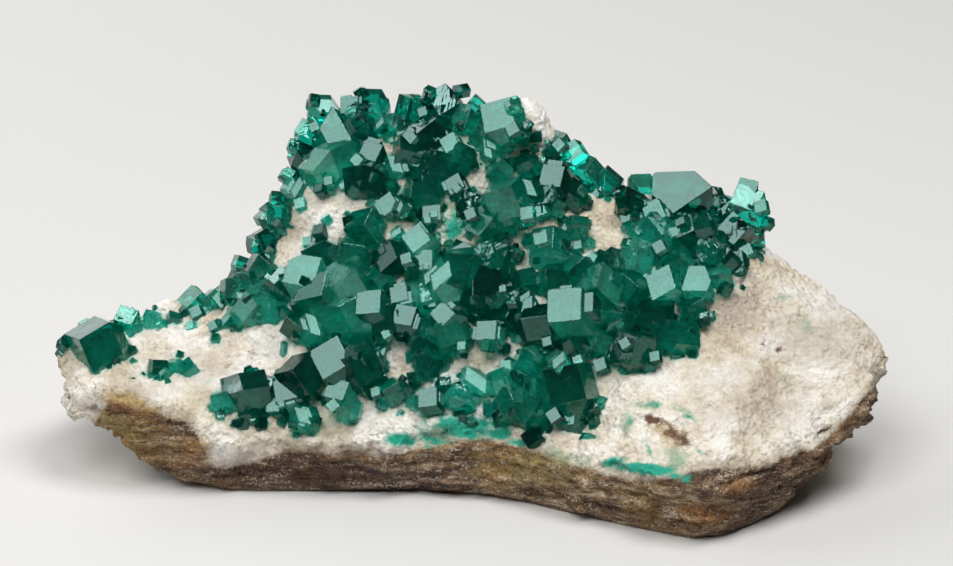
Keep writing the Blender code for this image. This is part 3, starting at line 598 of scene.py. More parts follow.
def steps_on(parent, dice):
    """Smaller parallel crystals whose bright faces lie a step below the parent's."""
    _, centre, size, turned, pose, stretch = parent
    normal, upward = (END_FACE, END_UPWARD) if pose == "end" else (SIDE_FACE, SIDE_UPWARD)
    height = stretch * math.cos(RHOMB_TILT) if pose == "end" else math.cos(math.pi / 6)
    sideways = normal.cross(upward)
    for _ in range(STEPS):
        share = dice.uniform(*STEP_SHARE)
        drop = dice.uniform(*STEP_DROP)
        way = dice.uniform(0, math.tau)
        offset = (upward * math.cos(way) + sideways * math.sin(way)) * dice.uniform(*STEP_SHIFT)
        offset += normal * (height * (1 - share) - drop)
        yield turned, centre + turned @ offset * size, size * share, stretch


def growths_on(parent, dice):
    """Small crystals on the sides of a large one, half of them parallel to it."""
    _, centre, size, turned, pose, stretch = parent
    for _ in range(SIDE_GROWTHS):
        way = Vector((dice.uniform(-1, 1), dice.uniform(-1, 1), dice.uniform(-0.3, 1))).normalized()
        share = dice.uniform(*SIDE_SHARE)
        outward = turned @ way
        if pose != "free" and outward.dot(FLASH) > KEEP_CLEAR:
            continue
        spot = centre + outward * size * dice.uniform(*SIDE_REACH)
        parallel = dice.random() < 0.5
        yield turned if parallel else random_turn(outward, dice), spot, size * share, SIDE_STRETCH


growth_dice = random.Random(41)
growths = []
# No step grows on a crystal with a cut corner, nor on two more that stay plain.
without_steps = {row[0] for row in CUTS} | {(32.5, 33.5), (4.9, 61.8)}
for row, parent in zip(LARGE_CRYSTALS, grown):
    found = list(growths_on(parent, growth_dice))
    if parent[4] in ("end", "side") and parent[2] > STEP_FROM and row[:2] not in without_steps:
        found += steps_on(parent, growth_dice)
    for turned, centre, size, stretch in found:
        shade = shade_dice.random()
        if not in_gap(centre):
            growths.append((crystal_copy(turned, centre, size, stretch, shade), centre))
print("steps and side growths:", len(growths))

# %% [markdown]
# ## The small crystals between them
#
# A druse fills its gaps with smaller crystals. The ones that stand apart on the calcite are placed one
# by one, from the same view. The rest is a scatter: points are thrown at the specimen, and a small
# crystal grows where a point lands on stone close to the foot of a large one.

# %% The table of small crystals
SMALL_CRYSTALS = (
    # left end and left ridge
    (-68.7, 23.2, 1.1, "free", 20, 1.4), (-69.0, 21.5, 0.9, "free", 50, 1.3),
    (-68.5, 20.6, 0.8, "free", 10, 1.3), (-51.7, 26.0, 1.0, "free", 35, 1.3),
    (-50.0, 27.0, 1.4, "free", 60, 1.4), (-47.3, 26.3, 1.0, "end", 15, 1.3),
    (-57.5, 25.0, 0.8, "free", 5, 1.4), (-59.5, 21.5, 0.7, "free", 40, 1.3),
    (-57.0, 20.0, 0.6, "free", 20, 1.4), (-60.8, 19.0, 0.6, "free", 70, 1.3),
    (-57.0, 17.0, 0.4, "free", 30, 1.3), (-55.4, 17.8, 0.4, "free", 30, 1.3),
    (-53.0, 17.0, 0.5, "free", 10, 1.3), (-51.0, 16.6, 0.5, "free", 60, 1.3),
    (-44.0, 16.0, 0.5, "free", 25, 1.3), (-43.0, 24.0, 0.9, "free", 15, 1.3),
    (-49.0, 21.0, 0.8, "free", 55, 1.4), (-43.5, 26.2, 1.2, "end", 30, 1.3),
    (-38.8, 36.5, 1.4, "free", 20, 1.4), (-36.4, 40.0, 1.3, "free", 45, 1.4),
    (-34.6, 44.2, 1.3, "free", 5, 1.4), (-32.4, 47.6, 1.4, "free", 60, 1.4),
    (-30.8, 51.6, 1.2, "free", 30, 1.4), (-29.6, 56.4, 1.2, "free", 15, 1.4),
    # alone on the calcite
    (-30.0, 20.7, 0.7, "free", 30, 1.3), (-0.8, 21.2, 0.7, "free", 5, 1.3),
    # front left
    (-42.2, 10.8, 0.8, "free", 20, 1.3), (-39.7, 9.5, 0.7, "free", 50, 1.3),
    (-38.4, 9.4, 1.0, "free", 15, 1.3), (-35.0, 9.5, 1.0, "free", 70, 1.3),
    (-31.8, 12.9, 0.8, "end", 20, 1.2), (-34.7, 11.0, 1.0, "free", 25, 1.3),
    (-29.6, 9.2, 0.8, "free", 40, 1.3), (-26.0, 10.0, 0.9, "free", 10, 1.3),
    # left of the mound
    (-23.0, 12.7, 1.4, "end", 40, 1.3), (-19.5, 21.6, 1.2, "free", 20, 1.3),
    (-14.6, 22.4, 1.2, "free", 45, 1.4), (-25.2, 42.0, 1.4, "free", 25, 1.4),
    (-24.0, 43.9, 0.9, "free", 60, 1.3), (-12.2, 42.0, 1.4, "side", 5, 1.3),
    (-27.4, 40.6, 1.2, "end", 10, 1.3), (-16.4, 46.8, 1.0, "free", 30, 1.3),
    # crest of the mound
    (-26.2, 60.0, 1.2, "end", 25, 1.3), (-15.0, 60.5, 1.4, "side", 15, 1.2),
    (-19.0, 54.3, 1.4, "end", 50, 1.2), (-23.8, 50.8, 1.1, "end", 10, 1.2),
    (-25.2, 49.2, 1.1, "free", 30, 1.3), (-21.3, 50.3, 1.2, "end", 35, 1.2),
    (-28.7, 47.0, 1.4, "end", 15, 1.2), (-32.6, 42.2, 1.0, "free", 40, 1.3),
    (-11.4, 59.5, 1.2, "side", 0, 1.6), (-9.8, 58.5, 1.7, "end", 45, 1.2),
    (-7.8, 62.5, 1.2, "end", 20, 1.2), (7.4, 59.6, 1.6, "end", 30, 1.2),
    (9.8, 60.0, 1.0, "free", 30, 1.3), (11.4, 58.3, 1.1, "free", 50, 1.3),
    (-26.2, 64.4, 1.0, "free", 20, 1.4), (-18.2, 65.6, 1.1, "free", 50, 1.4),
    (-46.3, 28.6, 1.5, "end", 25, 1.2), (-41.8, 30.9, 2.0, "end", 45, 1.2),
    (-6.6, 65.4, 1.1, "free", 5, 1.4), (-1.2, 66.0, 1.2, "free", 60, 1.4),
    (1.4, 63.6, 1.4, "free", 25, 1.4), (7.6, 63.2, 1.3, "free", 45, 1.4),
    # middle of the mound
    (-11.6, 46.3, 1.4, "side", 40, 1.2), (0.3, 45.2, 1.4, "end", 25, 1.2),
    (-2.0, 49.5, 1.0, "end", 40, 1.2), (-10.6, 37.6, 1.4, "end", 15, 1.3),
    (5.8, 32.5, 0.9, "end", 10, 1.2), (-11.0, 24.4, 1.3, "free", 20, 1.3),
    (-9.4, 21.0, 1.2, "free", 55, 1.3), (-14.0, 24.8, 1.1, "end", 30, 1.2),
    (-1.2, 22.8, 1.1, "end", 5, 1.3), (3.4, 22.8, 1.2, "free", 35, 1.3),
    # right shoulder
    (15.3, 56.9, 1.4, "end", 45, 1.2), (9.9, 45.3, 1.7, "end", 5, 1.2),
    (12.2, 45.8, 1.5, "end", 25, 1.2), (14.8, 46.0, 1.6, "free", 40, 1.3),
    (12.2, 41.2, 1.8, "end", 15, 1.2), (21.5, 48.4, 1.3, "side", 20, 1.4),
    (10.5, 40.5, 1.4, "free", 20, 1.3), (18.5, 39.9, 1.1, "end", 10, 1.2),
    (20.6, 40.2, 1.0, "free", 35, 1.3), (21.0, 37.8, 1.2, "end", 40, 1.2),
    (16.0, 43.6, 1.2, "free", 15, 1.3), (25.8, 48.6, 1.3, "free", 30, 1.4),
    (26.4, 46.6, 1.4, "free", 60, 1.4),
    # right peak
    (26.6, 44.6, 1.3, "end", 20, 1.2), (28.8, 44.4, 1.3, "end", 35, 1.2),
    (27.5, 42.6, 1.3, "free", 10, 1.3), (32.3, 39.6, 1.5, "end", 30, 1.2),
    (49.5, 46.5, 1.6, "end", 15, 1.2), (47.2, 39.0, 1.5, "end", 25, 1.2),
    (48.6, 37.5, 1.3, "free", 30, 1.3), (44.8, 37.0, 1.4, "free", 20, 1.3),
    (50.6, 43.6, 1.2, "free", 50, 1.3), (43.6, 32.4, 1.2, "free", 35, 1.3),
    (41.8, 30.6, 1.2, "end", 5, 1.2), (39.8, 27.2, 1.3, "free", 60, 1.3),
    (31.6, 21.0, 1.3, "end", 10, 1.2), (26.5, 23.2, 1.3, "end", 30, 1.2),
    (24.2, 19.8, 1.0, "free", 20, 1.3),
    # right of the centre
    (13.3, 23.5, 1.2, "end", 15, 1.2), (15.0, 22.7, 1.2, "free", 45, 1.3),
    (13.0, 21.5, 1.1, "free", 10, 1.3), (18.5, 20.4, 1.2, "end", 25, 1.2),
    (15.3, 20.3, 1.9, "side", 10, 1.3), (7.5, 30.2, 1.3, "free", 15, 1.3),
    # front middle
    (6.3, 19.4, 1.4, "end", 10, 1.3), (14.4, 11.0, 1.6, "end", 35, 1.2),
    (13.4, 8.2, 1.5, "free", 20, 1.3), (11.5, 7.3, 1.8, "free", 55, 1.4),
    (-1.5, 10.8, 1.3, "free", 15, 1.3), (0.6, 9.8, 1.0, "free", 40, 1.3),
    (-3.8, 10.2, 0.8, "free", 5, 1.3), (-6.2, 9.3, 0.7, "free", 30, 1.3),
    (-4.0, 8.5, 0.6, "free", 60, 1.3), (-11.5, 11.0, 0.8, "free", 20, 1.3),
    (-9.4, 13.2, 1.3, "free", 45, 1.3), (-14.6, 12.6, 1.1, "free", 30, 1.3),
    (-15.8, 15.0, 1.2, "end", 15, 1.2), (-4.4, 16.2, 1.4, "free", 20, 1.4),
    (-8.8, 17.0, 1.5, "free", 50, 1.4), (3.6, 11.8, 1.2, "free", 10, 1.3),
    (22.6, 12.6, 1.2, "free", 30, 1.3), (21.4, 9.6, 1.0, "free", 55, 1.3),
)
print(len(SMALL_CRYSTALS), "small crystals in the table")

# %% Placing the small crystals
covered = tree_of([nodes[name] for name in ["host_rock", "calcite_crust", *crystal_nodes]])
small = grow(SMALL_CRYSTALS, covered, random.Random(23), shade_dice)
print("small crystals placed:", len(small))

# %% Scattering the rest
large_crystals = tree_of([row[0] for row in grown])
SCATTER = (
    # how many, furthest from a large crystal, smallest and largest radius in mm
    (700, 0.9, 0.5, 1.25),
    (160, 2.4, 0.35, 0.7),
)
# Left of this plane only this share of them grows.
SPARSE_LEFT_OF = -36 * MM
SPARSE_SHARE = 0.2
# How many spots are tried for each crystal that is wanted.
SPOTS_EACH = 12
# How far a scattered crystal strays from the normal, its centre's height in radii, and its lengths.
SCATTER_LEAN = 0.8
SCATTER_LIFT = 0.4
SCATTER_STRETCHES = (1.2, 1.4, 1.6)


def stone_spots(count, dice):
    """Points spread evenly over the calcite, with the normals there."""
    mesh = nodes["calcite_crust"].data
    faces = list(mesh.polygons)
    weights = [face.area for face in faces]
    for face in dice.choices(faces, weights=weights, k=count):
        a, b, c = (mesh.vertices[i].co for i in face.vertices[:3])
        s, t = dice.random(), dice.random()
        if s + t > 1:
            s, t = 1 - s, 1 - t
        yield a + (b - a) * s + (c - a) * t, face.normal


def scatter(wanted, reach, smallest, largest, dice):
    """Small crystals on the calcite within reach of a large one, thinning out away from it."""
    made = []
    for spot, normal in stone_spots(wanted * SPOTS_EACH, dice):
        if len(made) >= wanted:
            break
        _, _, _, gap = large_crystals.find_nearest(spot)
        if gap > reach * MM * dice.random():
            continue
        if spot.x < SPARSE_LEFT_OF and dice.random() > SPARSE_SHARE:
            continue
        size = dice.uniform(smallest, largest) * MM
        lean = Vector([dice.uniform(-SCATTER_LEAN, SCATTER_LEAN) for _ in range(3)])
        turned = random_turn((normal + lean).normalized(), dice)
        centre = spot + normal * size * SCATTER_LIFT
        if in_gap(centre):
            continue
        stretch = dice.choice(SCATTER_STRETCHES)
        made.append((crystal_copy(turned, centre, size, stretch, dice.random()), centre))
    return made


scattered = []
for number, row in enumerate(SCATTER):
    scattered += scatter(*row, random.Random(31 + number))
print("scattered crystals:", len(scattered))

# %% [markdown]
# ## Crystals that grew together
#
# Where crystals overlap they are one body: light must not meet a hidden wall inside. Each crystal
# goes to the solid that it is nearest to, and a Boolean union then joins all crystals of that solid.

# %% Joining the crystals of each solid
node_trees = {name: tree_of([nodes[name]]) for name in crystal_nodes}
groups = {name: [] for name in crystal_nodes}
for piece, centre, *_ in grown + growths + small + scattered:
    nearest = min(crystal_nodes, key=lambda name: node_trees[name].find_nearest(centre)[3])
    groups[nearest].append(piece)

dioptase_pieces = []
for name in crystal_nodes:
    first, *others = groups[name]
    first.name = name + "_crystals"
    if others:
        helpers = bpy.data.collections.new("union")
        for piece in others:
            helpers.objects.link(piece)
        apply_modifier(
            first, "BOOLEAN", operation="UNION", solver="MANIFOLD",
            operand_type="COLLECTION", collection=helpers,
        )
        for piece in others:
            bpy.data.objects.remove(piece)
        bpy.data.collections.remove(helpers)
    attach(first, "root")
    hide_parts(name)
    dioptase_pieces.append(first)
    print(first.name, "faces:", len(first.data.polygons))
for piece in patterns.values():
    bpy.data.objects.remove(piece)

# %% [markdown]
# ## The stone
#
# The white crust is calcite in sugary grains, and the host rock under it is bedded and weathered
# brown. Each starts as a copy of its solid. A voxel remesh gives it fine, even faces, a smooth pass
# takes off the solid's facets, and Displace modifiers then raise lumps, ledges and grains. Vertex
# groups hold the displacement back near the base, which stays flat on the floor.

# %% Copying and refining the stone
def copy_of(node, name):
    """A copy of a CAD node with its loose triangles merged."""
    mesh = nodes[node].data.copy()
    mesh.materials.clear()
    piece = link_new(name, mesh)
    work_on(piece)
    bpy.ops.object.mode_set(mode="EDIT")
    bpy.ops.mesh.select_all(action="SELECT")
    bpy.ops.mesh.remove_doubles(threshold=0.001 * MM)
    bpy.ops.object.mode_set(mode="OBJECT")
    return piece


def places_of(piece):
    """The vertices' places as an array, one a row."""
    flat = np.empty(3 * len(piece.data.vertices))
    piece.data.vertices.foreach_get("co", flat)
    return flat.reshape(-1, 3)


WEIGHT_STEPS = 20
# The base stays flat up to the first height, and the second fades the relief in above it, in mm.
BASE_FLAT = 0.3
BASE_FADE = 2.5


def group_from(piece, name, weights):
    """A vertex group whose weights come from an array, in even steps."""
    group = piece.vertex_groups.new(name=name)
    steps = np.round(np.clip(weights, 0, 1) * WEIGHT_STEPS).astype(int)
    for step in range(1, WEIGHT_STEPS + 1):
        group.add(np.nonzero(steps == step)[0].tolist(), step / WEIGHT_STEPS, "REPLACE")


def cloud(name, size, kind="CLOUDS", depth=2):
    """A procedural texture for a Displace modifier, with its grain size in millimetres."""
    texture = bpy.data.textures.new(name, kind)
    texture.noise_scale = size * MM
    if kind == "CLOUDS":
        texture.noise_depth = depth
    return texture


def refine(piece, voxel, smooth_steps):
    """Fine even faces, with the facets of the solid smoothed away."""
    apply_modifier(piece, "REMESH", mode="VOXEL", voxel_size=voxel * MM, use_smooth_shade=True)
    apply_modifier(piece, "SMOOTH", factor=0.5, iterations=smooth_steps)
    heights = places_of(piece)[:, 2] / MM
    group_from(piece, "above_base", (heights - BASE_FLAT) / BASE_FADE)


def displace(piece, texture, height, middle=0.5, **settings):
    """Raises the surface by a texture, by up to `height` millimetres from lowest to highest."""
    apply_modifier(
        piece, "DISPLACE", texture=texture, strength=height * MM, mid_level=middle,
        vertex_group="above_base", **settings,
    )


# Where the real stone stands further out or further back than its solid: (across, up, reach, height).
SWELLS = (
    (-70.5, 14, 6, 3.2), (-67.0, 10, 5, 1.5), (54, 38, 6, 1.6), (60, 33.5, 6, 1.6), (66, 28, 5, 1.2),
    (61, -0.5, 6, -0.8), (-51.5, 11.8, 2.6, 1.0), (-49.5, 11.2, 2.2, 0.8),
)


def swell(piece):
    """Pushes the surface out or in around each row's place, as with a sculpting brush."""
    for across, up, reach, height in SWELLS:
        centre = np.array(sight(across, up, stone)[0])
        gaps = np.linalg.norm(places_of(piece) - centre, axis=1) / MM
        group_from(piece, "swell", np.exp(-(gaps / reach) ** 2))
        apply_modifier(piece, "DISPLACE", strength=height * MM, mid_level=0, vertex_group="swell")
        piece.vertex_groups.remove(piece.vertex_groups["swell"])


calcite = copy_of("calcite_crust", "calcite_sugar_crust")
refine(calcite, 0.52, 5)
swell(calcite)
displace(calcite, None, 0.3, middle=0)
displace(calcite, cloud("lumps", 7), 2.4)
displace(calcite, cloud("knobs", 2.6), 1.0)
displace(calcite, cloud("grains", 1.6, "VORONOI"), -0.5, middle=0.4)
displace(calcite, cloud("sugar", 0.8), 0.6)
print("calcite faces:", len(calcite.data.polygons))

# %% The bedded host rock
BED_THICKNESS = 1.6
BED_LENGTH = 22
BED_TILT = (math.radians(3), math.radians(-4), 0)
# How near the crust the rock is pushed out, by how much, and how far the crust is searched for.
CRUST_REACH = 1.6 * MM
SEAM_FILL = 1.2 * MM
SEAM_SEARCH = 8 * MM

squash = link_new("bed_guide", None)
squash.scale = (BED_LENGTH, BED_LENGTH, BED_THICKNESS)
squash.rotation_euler = BED_TILT
bpy.context.view_layer.update()

rock = copy_of("host_rock", "bedded_host_rock")
refine(rock, 0.5, 3)
swell(rock)
# the rock stands out a little where it meets the crust, so that no crack opens between them
crust = tree_of([nodes["calcite_crust"]])
reach = np.array([
    crust.find_nearest(Vector(place), SEAM_SEARCH)[3] or SEAM_SEARCH for place in places_of(rock)
])
group_from(rock, "seam", np.exp(-(reach / CRUST_REACH) ** 2))
apply_modifier(rock, "DISPLACE", strength=SEAM_FILL, mid_level=0, vertex_group="seam")
displace(rock, None, 0.3, middle=0)
displace(rock, cloud("lumps", 7), 2.4)
displace(rock, cloud("beds", 1, depth=1), 2.4, texture_coords="OBJECT", texture_coords_object=squash)
displace(rock, cloud("breaks", 4, "VORONOI"), -1.8, middle=0.4)
displace(rock, cloud("grit", 1.2), 1.5)
bpy.data.objects.remove(squash)
print("host rock faces:", len(rock.data.polygons))

# %% [markdown]
# ## Nothing hangs in the air
#
# The finished stone lies a little inside or outside its solid, so a small crystal may be left clear of
# it. A crystal, or a clump that grew together, stays only if one of its corners lies in the stone.

# %% Dropping crystals that touch nothing
def islands_of(mesh):
    """The vertices of a mesh in groups that its edges join."""
    parent = list(range(len(mesh.vertices)))

    def root(index):
        while parent[index] != index:
            parent[index] = parent[parent[index]]
            index = parent[index]
        return index

    for edge in mesh.edges:
        first, second = (root(index) for index in edge.vertices)
        parent[first] = second
    groups = {}
    for index in range(len(parent)):
        groups.setdefault(root(index), []).append(index)
    return list(groups.values())


def sunk_in(point, trees):
    """Whether a point lies under the surface of either stone."""
    for tree in trees:
        place, normal, _, _ = tree.find_nearest(point)
        if (point - place).dot(normal) < 0:
            return True
    return False


stone_trees = [tree_of([calcite]), tree_of([rock])]
for piece in dioptase_pieces:
    vertices = piece.data.vertices
    vertices.foreach_set("select", [False] * len(vertices))
    piece.data.edges.foreach_set("select", [False] * len(piece.data.edges))
    piece.data.polygons.foreach_set("select", [False] * len(piece.data.polygons))
    loose = [g for g in islands_of(piece.data) if not any(sunk_in(vertices[i].co, stone_trees) for i in g)]
    for index in sum(loose, []):
        vertices[index].select = True
    work_on(piece)
    bpy.ops.object.mode_set(mode="EDIT")
    bpy.ops.mesh.select_mode(type="VERT")
    bpy.ops.mesh.delete(type="VERT")
    bpy.ops.object.mode_set(mode="OBJECT")
    print(piece.name, "loose crystals dropped:", len(loose))

for piece, node, slot in ((calcite, "calcite_crust", "calcite"), (rock, "host_rock", "host_rock")):
    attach(piece, "root")
    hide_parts(node)

# %% [markdown]
# ## Stains, dust and a painted glow
#
# Copper has stained the calcite in places: turquoise dust lies between the crystals and in a streak
# along the front edge, and a rusty patch with a green rim shows on the bare right side. Each stain is
# a soft patch in the display view, stored on the vertices. The materials break it up with noise.
# Round every crystal the stone also gets a pale green glow that fades with the distance from it:
# painted light, for the light that comes through the green crystals onto the stone.

# %% Painting the patches
# A row is (across, up, half width, half height, turn in degrees, strength).
PATCHES = {
    "copper_dust": (
        (30, 1.8, 8.5, 1.3, -7, 0.85), (24.4, 3.0, 3.0, 1.2, 8, 0.8), (35.8, 0.4, 3.2, 0.9, -15, 0.8),
        (27.6, 10.5, 1.3, 2.6, 0, 0.45), (30.2, 6.0, 1.1, 4.2, 30, 0.46), (-11.6, 6.7, 4, 1.6, 0, 0.8),
        (-6, 7, 6, 2.5, 0, 0.6), (5.2, 7.8, 3, 1.5, 0, 0.8), (8.5, 6.3, 3, 1.2, 0, 0.7),
        (30.5, 12.9, 5.5, 0.9, -6, 0.52), (37.5, 10.6, 4.5, 0.8, -32, 0.48), (38.5, 5.2, 4, 1.0, -25, 0.42),
        (56, 30, 4, 3, 0, 0.3), (56, 18, 5, 3, 0, 0.3), (45, 14.5, 4, 2, 0, 0.3),
        (-18, 6.5, 3, 1.2, 0, 0.4), (-2.5, 43.5, 3, 4, 0, 0.7), (22, 4, 4, 1.5, 0, 0.4),
        (0, 9, 12, 3.0, 0, 0.7), (-36, 10, 5, 2, 0, 0.5), (-8, 12, 5, 3, 0, 0.55), (7, 11.5, 4, 3, 0, 0.6),
    ),
    "olive_tint": (
        (-58, 8, 7, 5, -30, 1.0), (-48, 5, 5, 3, 0, 0.8), (10, 2, 14, 5, -5, 0.8),
        (30, -3, 12, 4, -8, 0.5),
    ),
    "green_veil": (
        (54.1, 31, 2.4, 1.5, 0, 0.55), (57, 26.6, 2.6, 2.0, -30, 0.5), (55, 17.4, 2.8, 1.7, -20, 0.5),
        (39.5, 13.5, 3, 1.6, 0, 0.4), (64, 27, 2, 1.2, 0, 0.4), (35.5, 3.5, 3, 2.5, -30, 0.7),
        (27.0, 9.5, 1.6, 3.4, -10, 0.7), (30.5, 12.6, 4.0, 1.1, 0, 0.7), (37.0, 11.4, 3.4, 1.0, -28, 0.6),
        (16, 3.5, 8, 2.5, -8, 0.55), (-14, 8.5, 3, 1.6, 0, 0.4), (-30, 6.5, 4, 1.6, 0, 0.35),
    ),
    "rust_tint": (
        (34, 8.0, 6.4, 2.6, -26, 0.62),
        (-57, 12, 8, 3, -25, 0.85), (-47, 5, 4, 4, 0, 0.75), (40, -6, 8, 2.5, 0, 0.9),
        (46, -1, 5, 2, 20, 0.8), (58, 3, 6, 2.5, 30, 0.6), (5, 4.5, 5, 1.5, 0, 0.5),
    ),
    "dark_tint": (
        (-24, 0, 22, 5, 0, 1.0), (-50, 2, 6, 2.5, 0, 0.9), (52, -2, 16, 3, 30, 0.6),
    ),
    "rust": (
        (31.2, 10.2, 4.6, 1.3, -18, 0.62), (35.8, 7.3, 5.2, 2.0, -30, 0.61),
        (52.6, 22, 1.3, 0.9, 0, 0.6), (50, 23, 1.0, 0.7, 0, 0.55), (61, 14.5, 3, 1.2, 25, 0.45),
        (64, 9, 4, 1.2, 30, 0.5), (-37.5, 21.6, 2.6, 1.8, 30, 0.42), (-51, 22.4, 1.4, 0.8, 0, 0.45),
        (47, 33.5, 2.5, 1.6, -30, 0.42), (-40.5, 19.2, 2.0, 0.8, 0, 0.42),
    ),
    "grey_veil": (
        (44, 30, 6, 5, 0, 0.6), (60, 24, 10, 6, 0, 0.35), (50, 14, 10, 5, 0, 0.3),
        (-45, 19, 8, 4, 0, 0.3), (-58, 14, 6, 3, 0, 0.3),
    ),
}


def patch_mask(places, rows):
    """How strongly any of the patches covers each place, from 0 to 1."""
    across, up = seen_at(places)
    mask = np.zeros(len(places))
    for centre_across, centre_up, half_wide, half_high, turn, strength in rows:
        c, s = math.cos(math.radians(turn)), math.sin(math.radians(turn))
        along = ((across - centre_across) * c + (up - centre_up) * s) / half_wide
        above = ((up - centre_up) * c - (across - centre_across) * s) / half_high
        spot, _ = sight(centre_across, centre_up, stone)
        near = np.linalg.norm(places - np.array(spot), axis=1) < 2 * max(half_wide, half_high) * MM
        mask = np.maximum(mask, np.exp(-(along**2 + above**2)) * strength * near)
    return mask


def store(piece, name, values):
    """Keeps one number a vertex, for a material to read."""
    piece.data.attributes.new(name, "FLOAT", "POINT").data.foreach_set("value", values)


crystals_tree = tree_of(dioptase_pieces)
# How wide the painted green glow round a crystal is, and how far a crystal is searched for.
# The glow is painted light, for the light that comes through the crystals.
HALO = 0.5 * MM
HALO_SEARCH = 4 * MM
# Where white gives way to brown on the display side, as (across, up) from left to right.
BROWN_BELOW = (
    (-72, 2), (-65, 7), (-61, 13.5), (-54, 11.5), (-49, 10.2), (-46.5, 8.6), (-45, 5), (-43.5, 2.3),
    (-40.5, 2.0), (-35.4, 3.3), (-33, 4.2), (-28.6, 5.0), (-21.8, 4.2), (-11.6, 4.4), (-6.5, 5.9),
    (-3, 6.7), (3.7, 6.7), (8.8, 5.6), (13, 4.2), (23.5, 0.8), (30, -0.3), (36.3, 0.8), (39.7, 1.8),
    (51.3, 2.1), (53.3, 3.8), (58.9, 5.5), (61.5, 7.6), (64, 10.1), (66.9, 13.5), (70, 17),
)
# How far the white and the brown blend, and how far the weathering spreads, about that line in mm.
BROWN_BLEND = 1.9
WEATHERED = 3.0
# From front to back, where the line stops counting and how gently.
FRONT_FROM = 12 * MM
FRONT_FADE = 8 * MM


def above_brown(across, up):
    """How far above that line a place of the display view is, in mm."""
    return up - np.interp(across, *zip(*BROWN_BELOW))


def brown_share(places, own):
    """How far each place is host rock: by the boundary on the display side, else by its own piece."""
    below = np.clip(-above_brown(*seen_at(places)) / BROWN_BLEND + 0.5, 0, 1)
    front = np.clip((FRONT_FROM - places[:, 1]) / FRONT_FADE, 0, 1)
    return below * front + own * (1 - front)


for piece in (calcite, rock):
    places = places_of(piece)
    store(piece, "brown", brown_share(places, 1.0 if piece is rock else 0.0))
    store(piece, "weathering", np.exp(-(above_brown(*seen_at(places)) / WEATHERED) ** 2))
    # painted light: a green glow on the stone that fades with the distance from the nearest crystal
    gaps = np.array([crystals_tree.find_nearest(Vector(p), HALO_SEARCH)[3] or HALO_SEARCH for p in places])
    store(piece, "painted_green_glow", np.exp(-gaps / HALO))
    for name, rows in PATCHES.items():
        store(piece, name, patch_mask(places, rows))
print("patches stored:", sorted(PATCHES))

# %% [markdown]
# ## Materials
#
# Dioptase is a clear, deeply coloured crystal: a refractive index of about 1.67 gives it brighter
# reflections than window glass, and its green comes from light being absorbed on the way through. So
# it is plain transmission with an absorbing volume. Growth leaves low steps and fine lines on its faces.

# %% Dioptase
# The share of the veils in a face's tone, and the height of its waves against its fine lines.
VEIL_SHARE = 0.3
WAVE_HEIGHT = 5.0


def add_node(tree, kind, inputs=None, stops=None, **settings):
    """Adds one node with its settings, the stops of its ramp, and its input values or links."""
    node = tree.nodes.new(kind)
    for key, value in settings.items():
        setattr(node, key, value)
    if stops:
        elements = node.color_ramp.elements
        elements.remove(elements[-1])
        elements[0].position = stops[0][0]
        elements[0].color = (*linear(stops[0][1]), 1)
        for place, colour in stops[1:]:
            elements.new(place).color = (*linear(colour), 1)
    for key, value in (inputs or {}).items():
        if isinstance(value, bpy.types.NodeSocket):
            tree.links.new(value, node.inputs[key])
        else:
            node.inputs[key].default_value = value
    return node


def new_material(name):
    """A material with only its output node, and that material's node tree."""
    made = bpy.data.materials.new(name)
    made.use_nodes = True
    made.node_tree.nodes.clear()
    return made, made.node_tree


def noise(tree, place, scale, detail, roughness=0.5, distortion=0.0):
    """The value of a noise at a place, with its scale in waves a unit."""
    return add_node(tree, "ShaderNodeTexNoise", {
        "Vector": place, "Scale": scale, "Detail": detail, "Roughness": roughness,
        "Distortion": distortion,
    }).outputs["Fac"]


def ramp(tree, value, stops):
    """The colour that a ramp gives a value."""
    return add_node(tree, "ShaderNodeValToRGB", {"Fac": value}, stops=stops).outputs["Color"]


def sum_of(tree, first, second):
    """Two values added up."""
    return add_node(tree, "ShaderNodeMath", {0: first, 1: second}, operation="ADD").outputs[0]


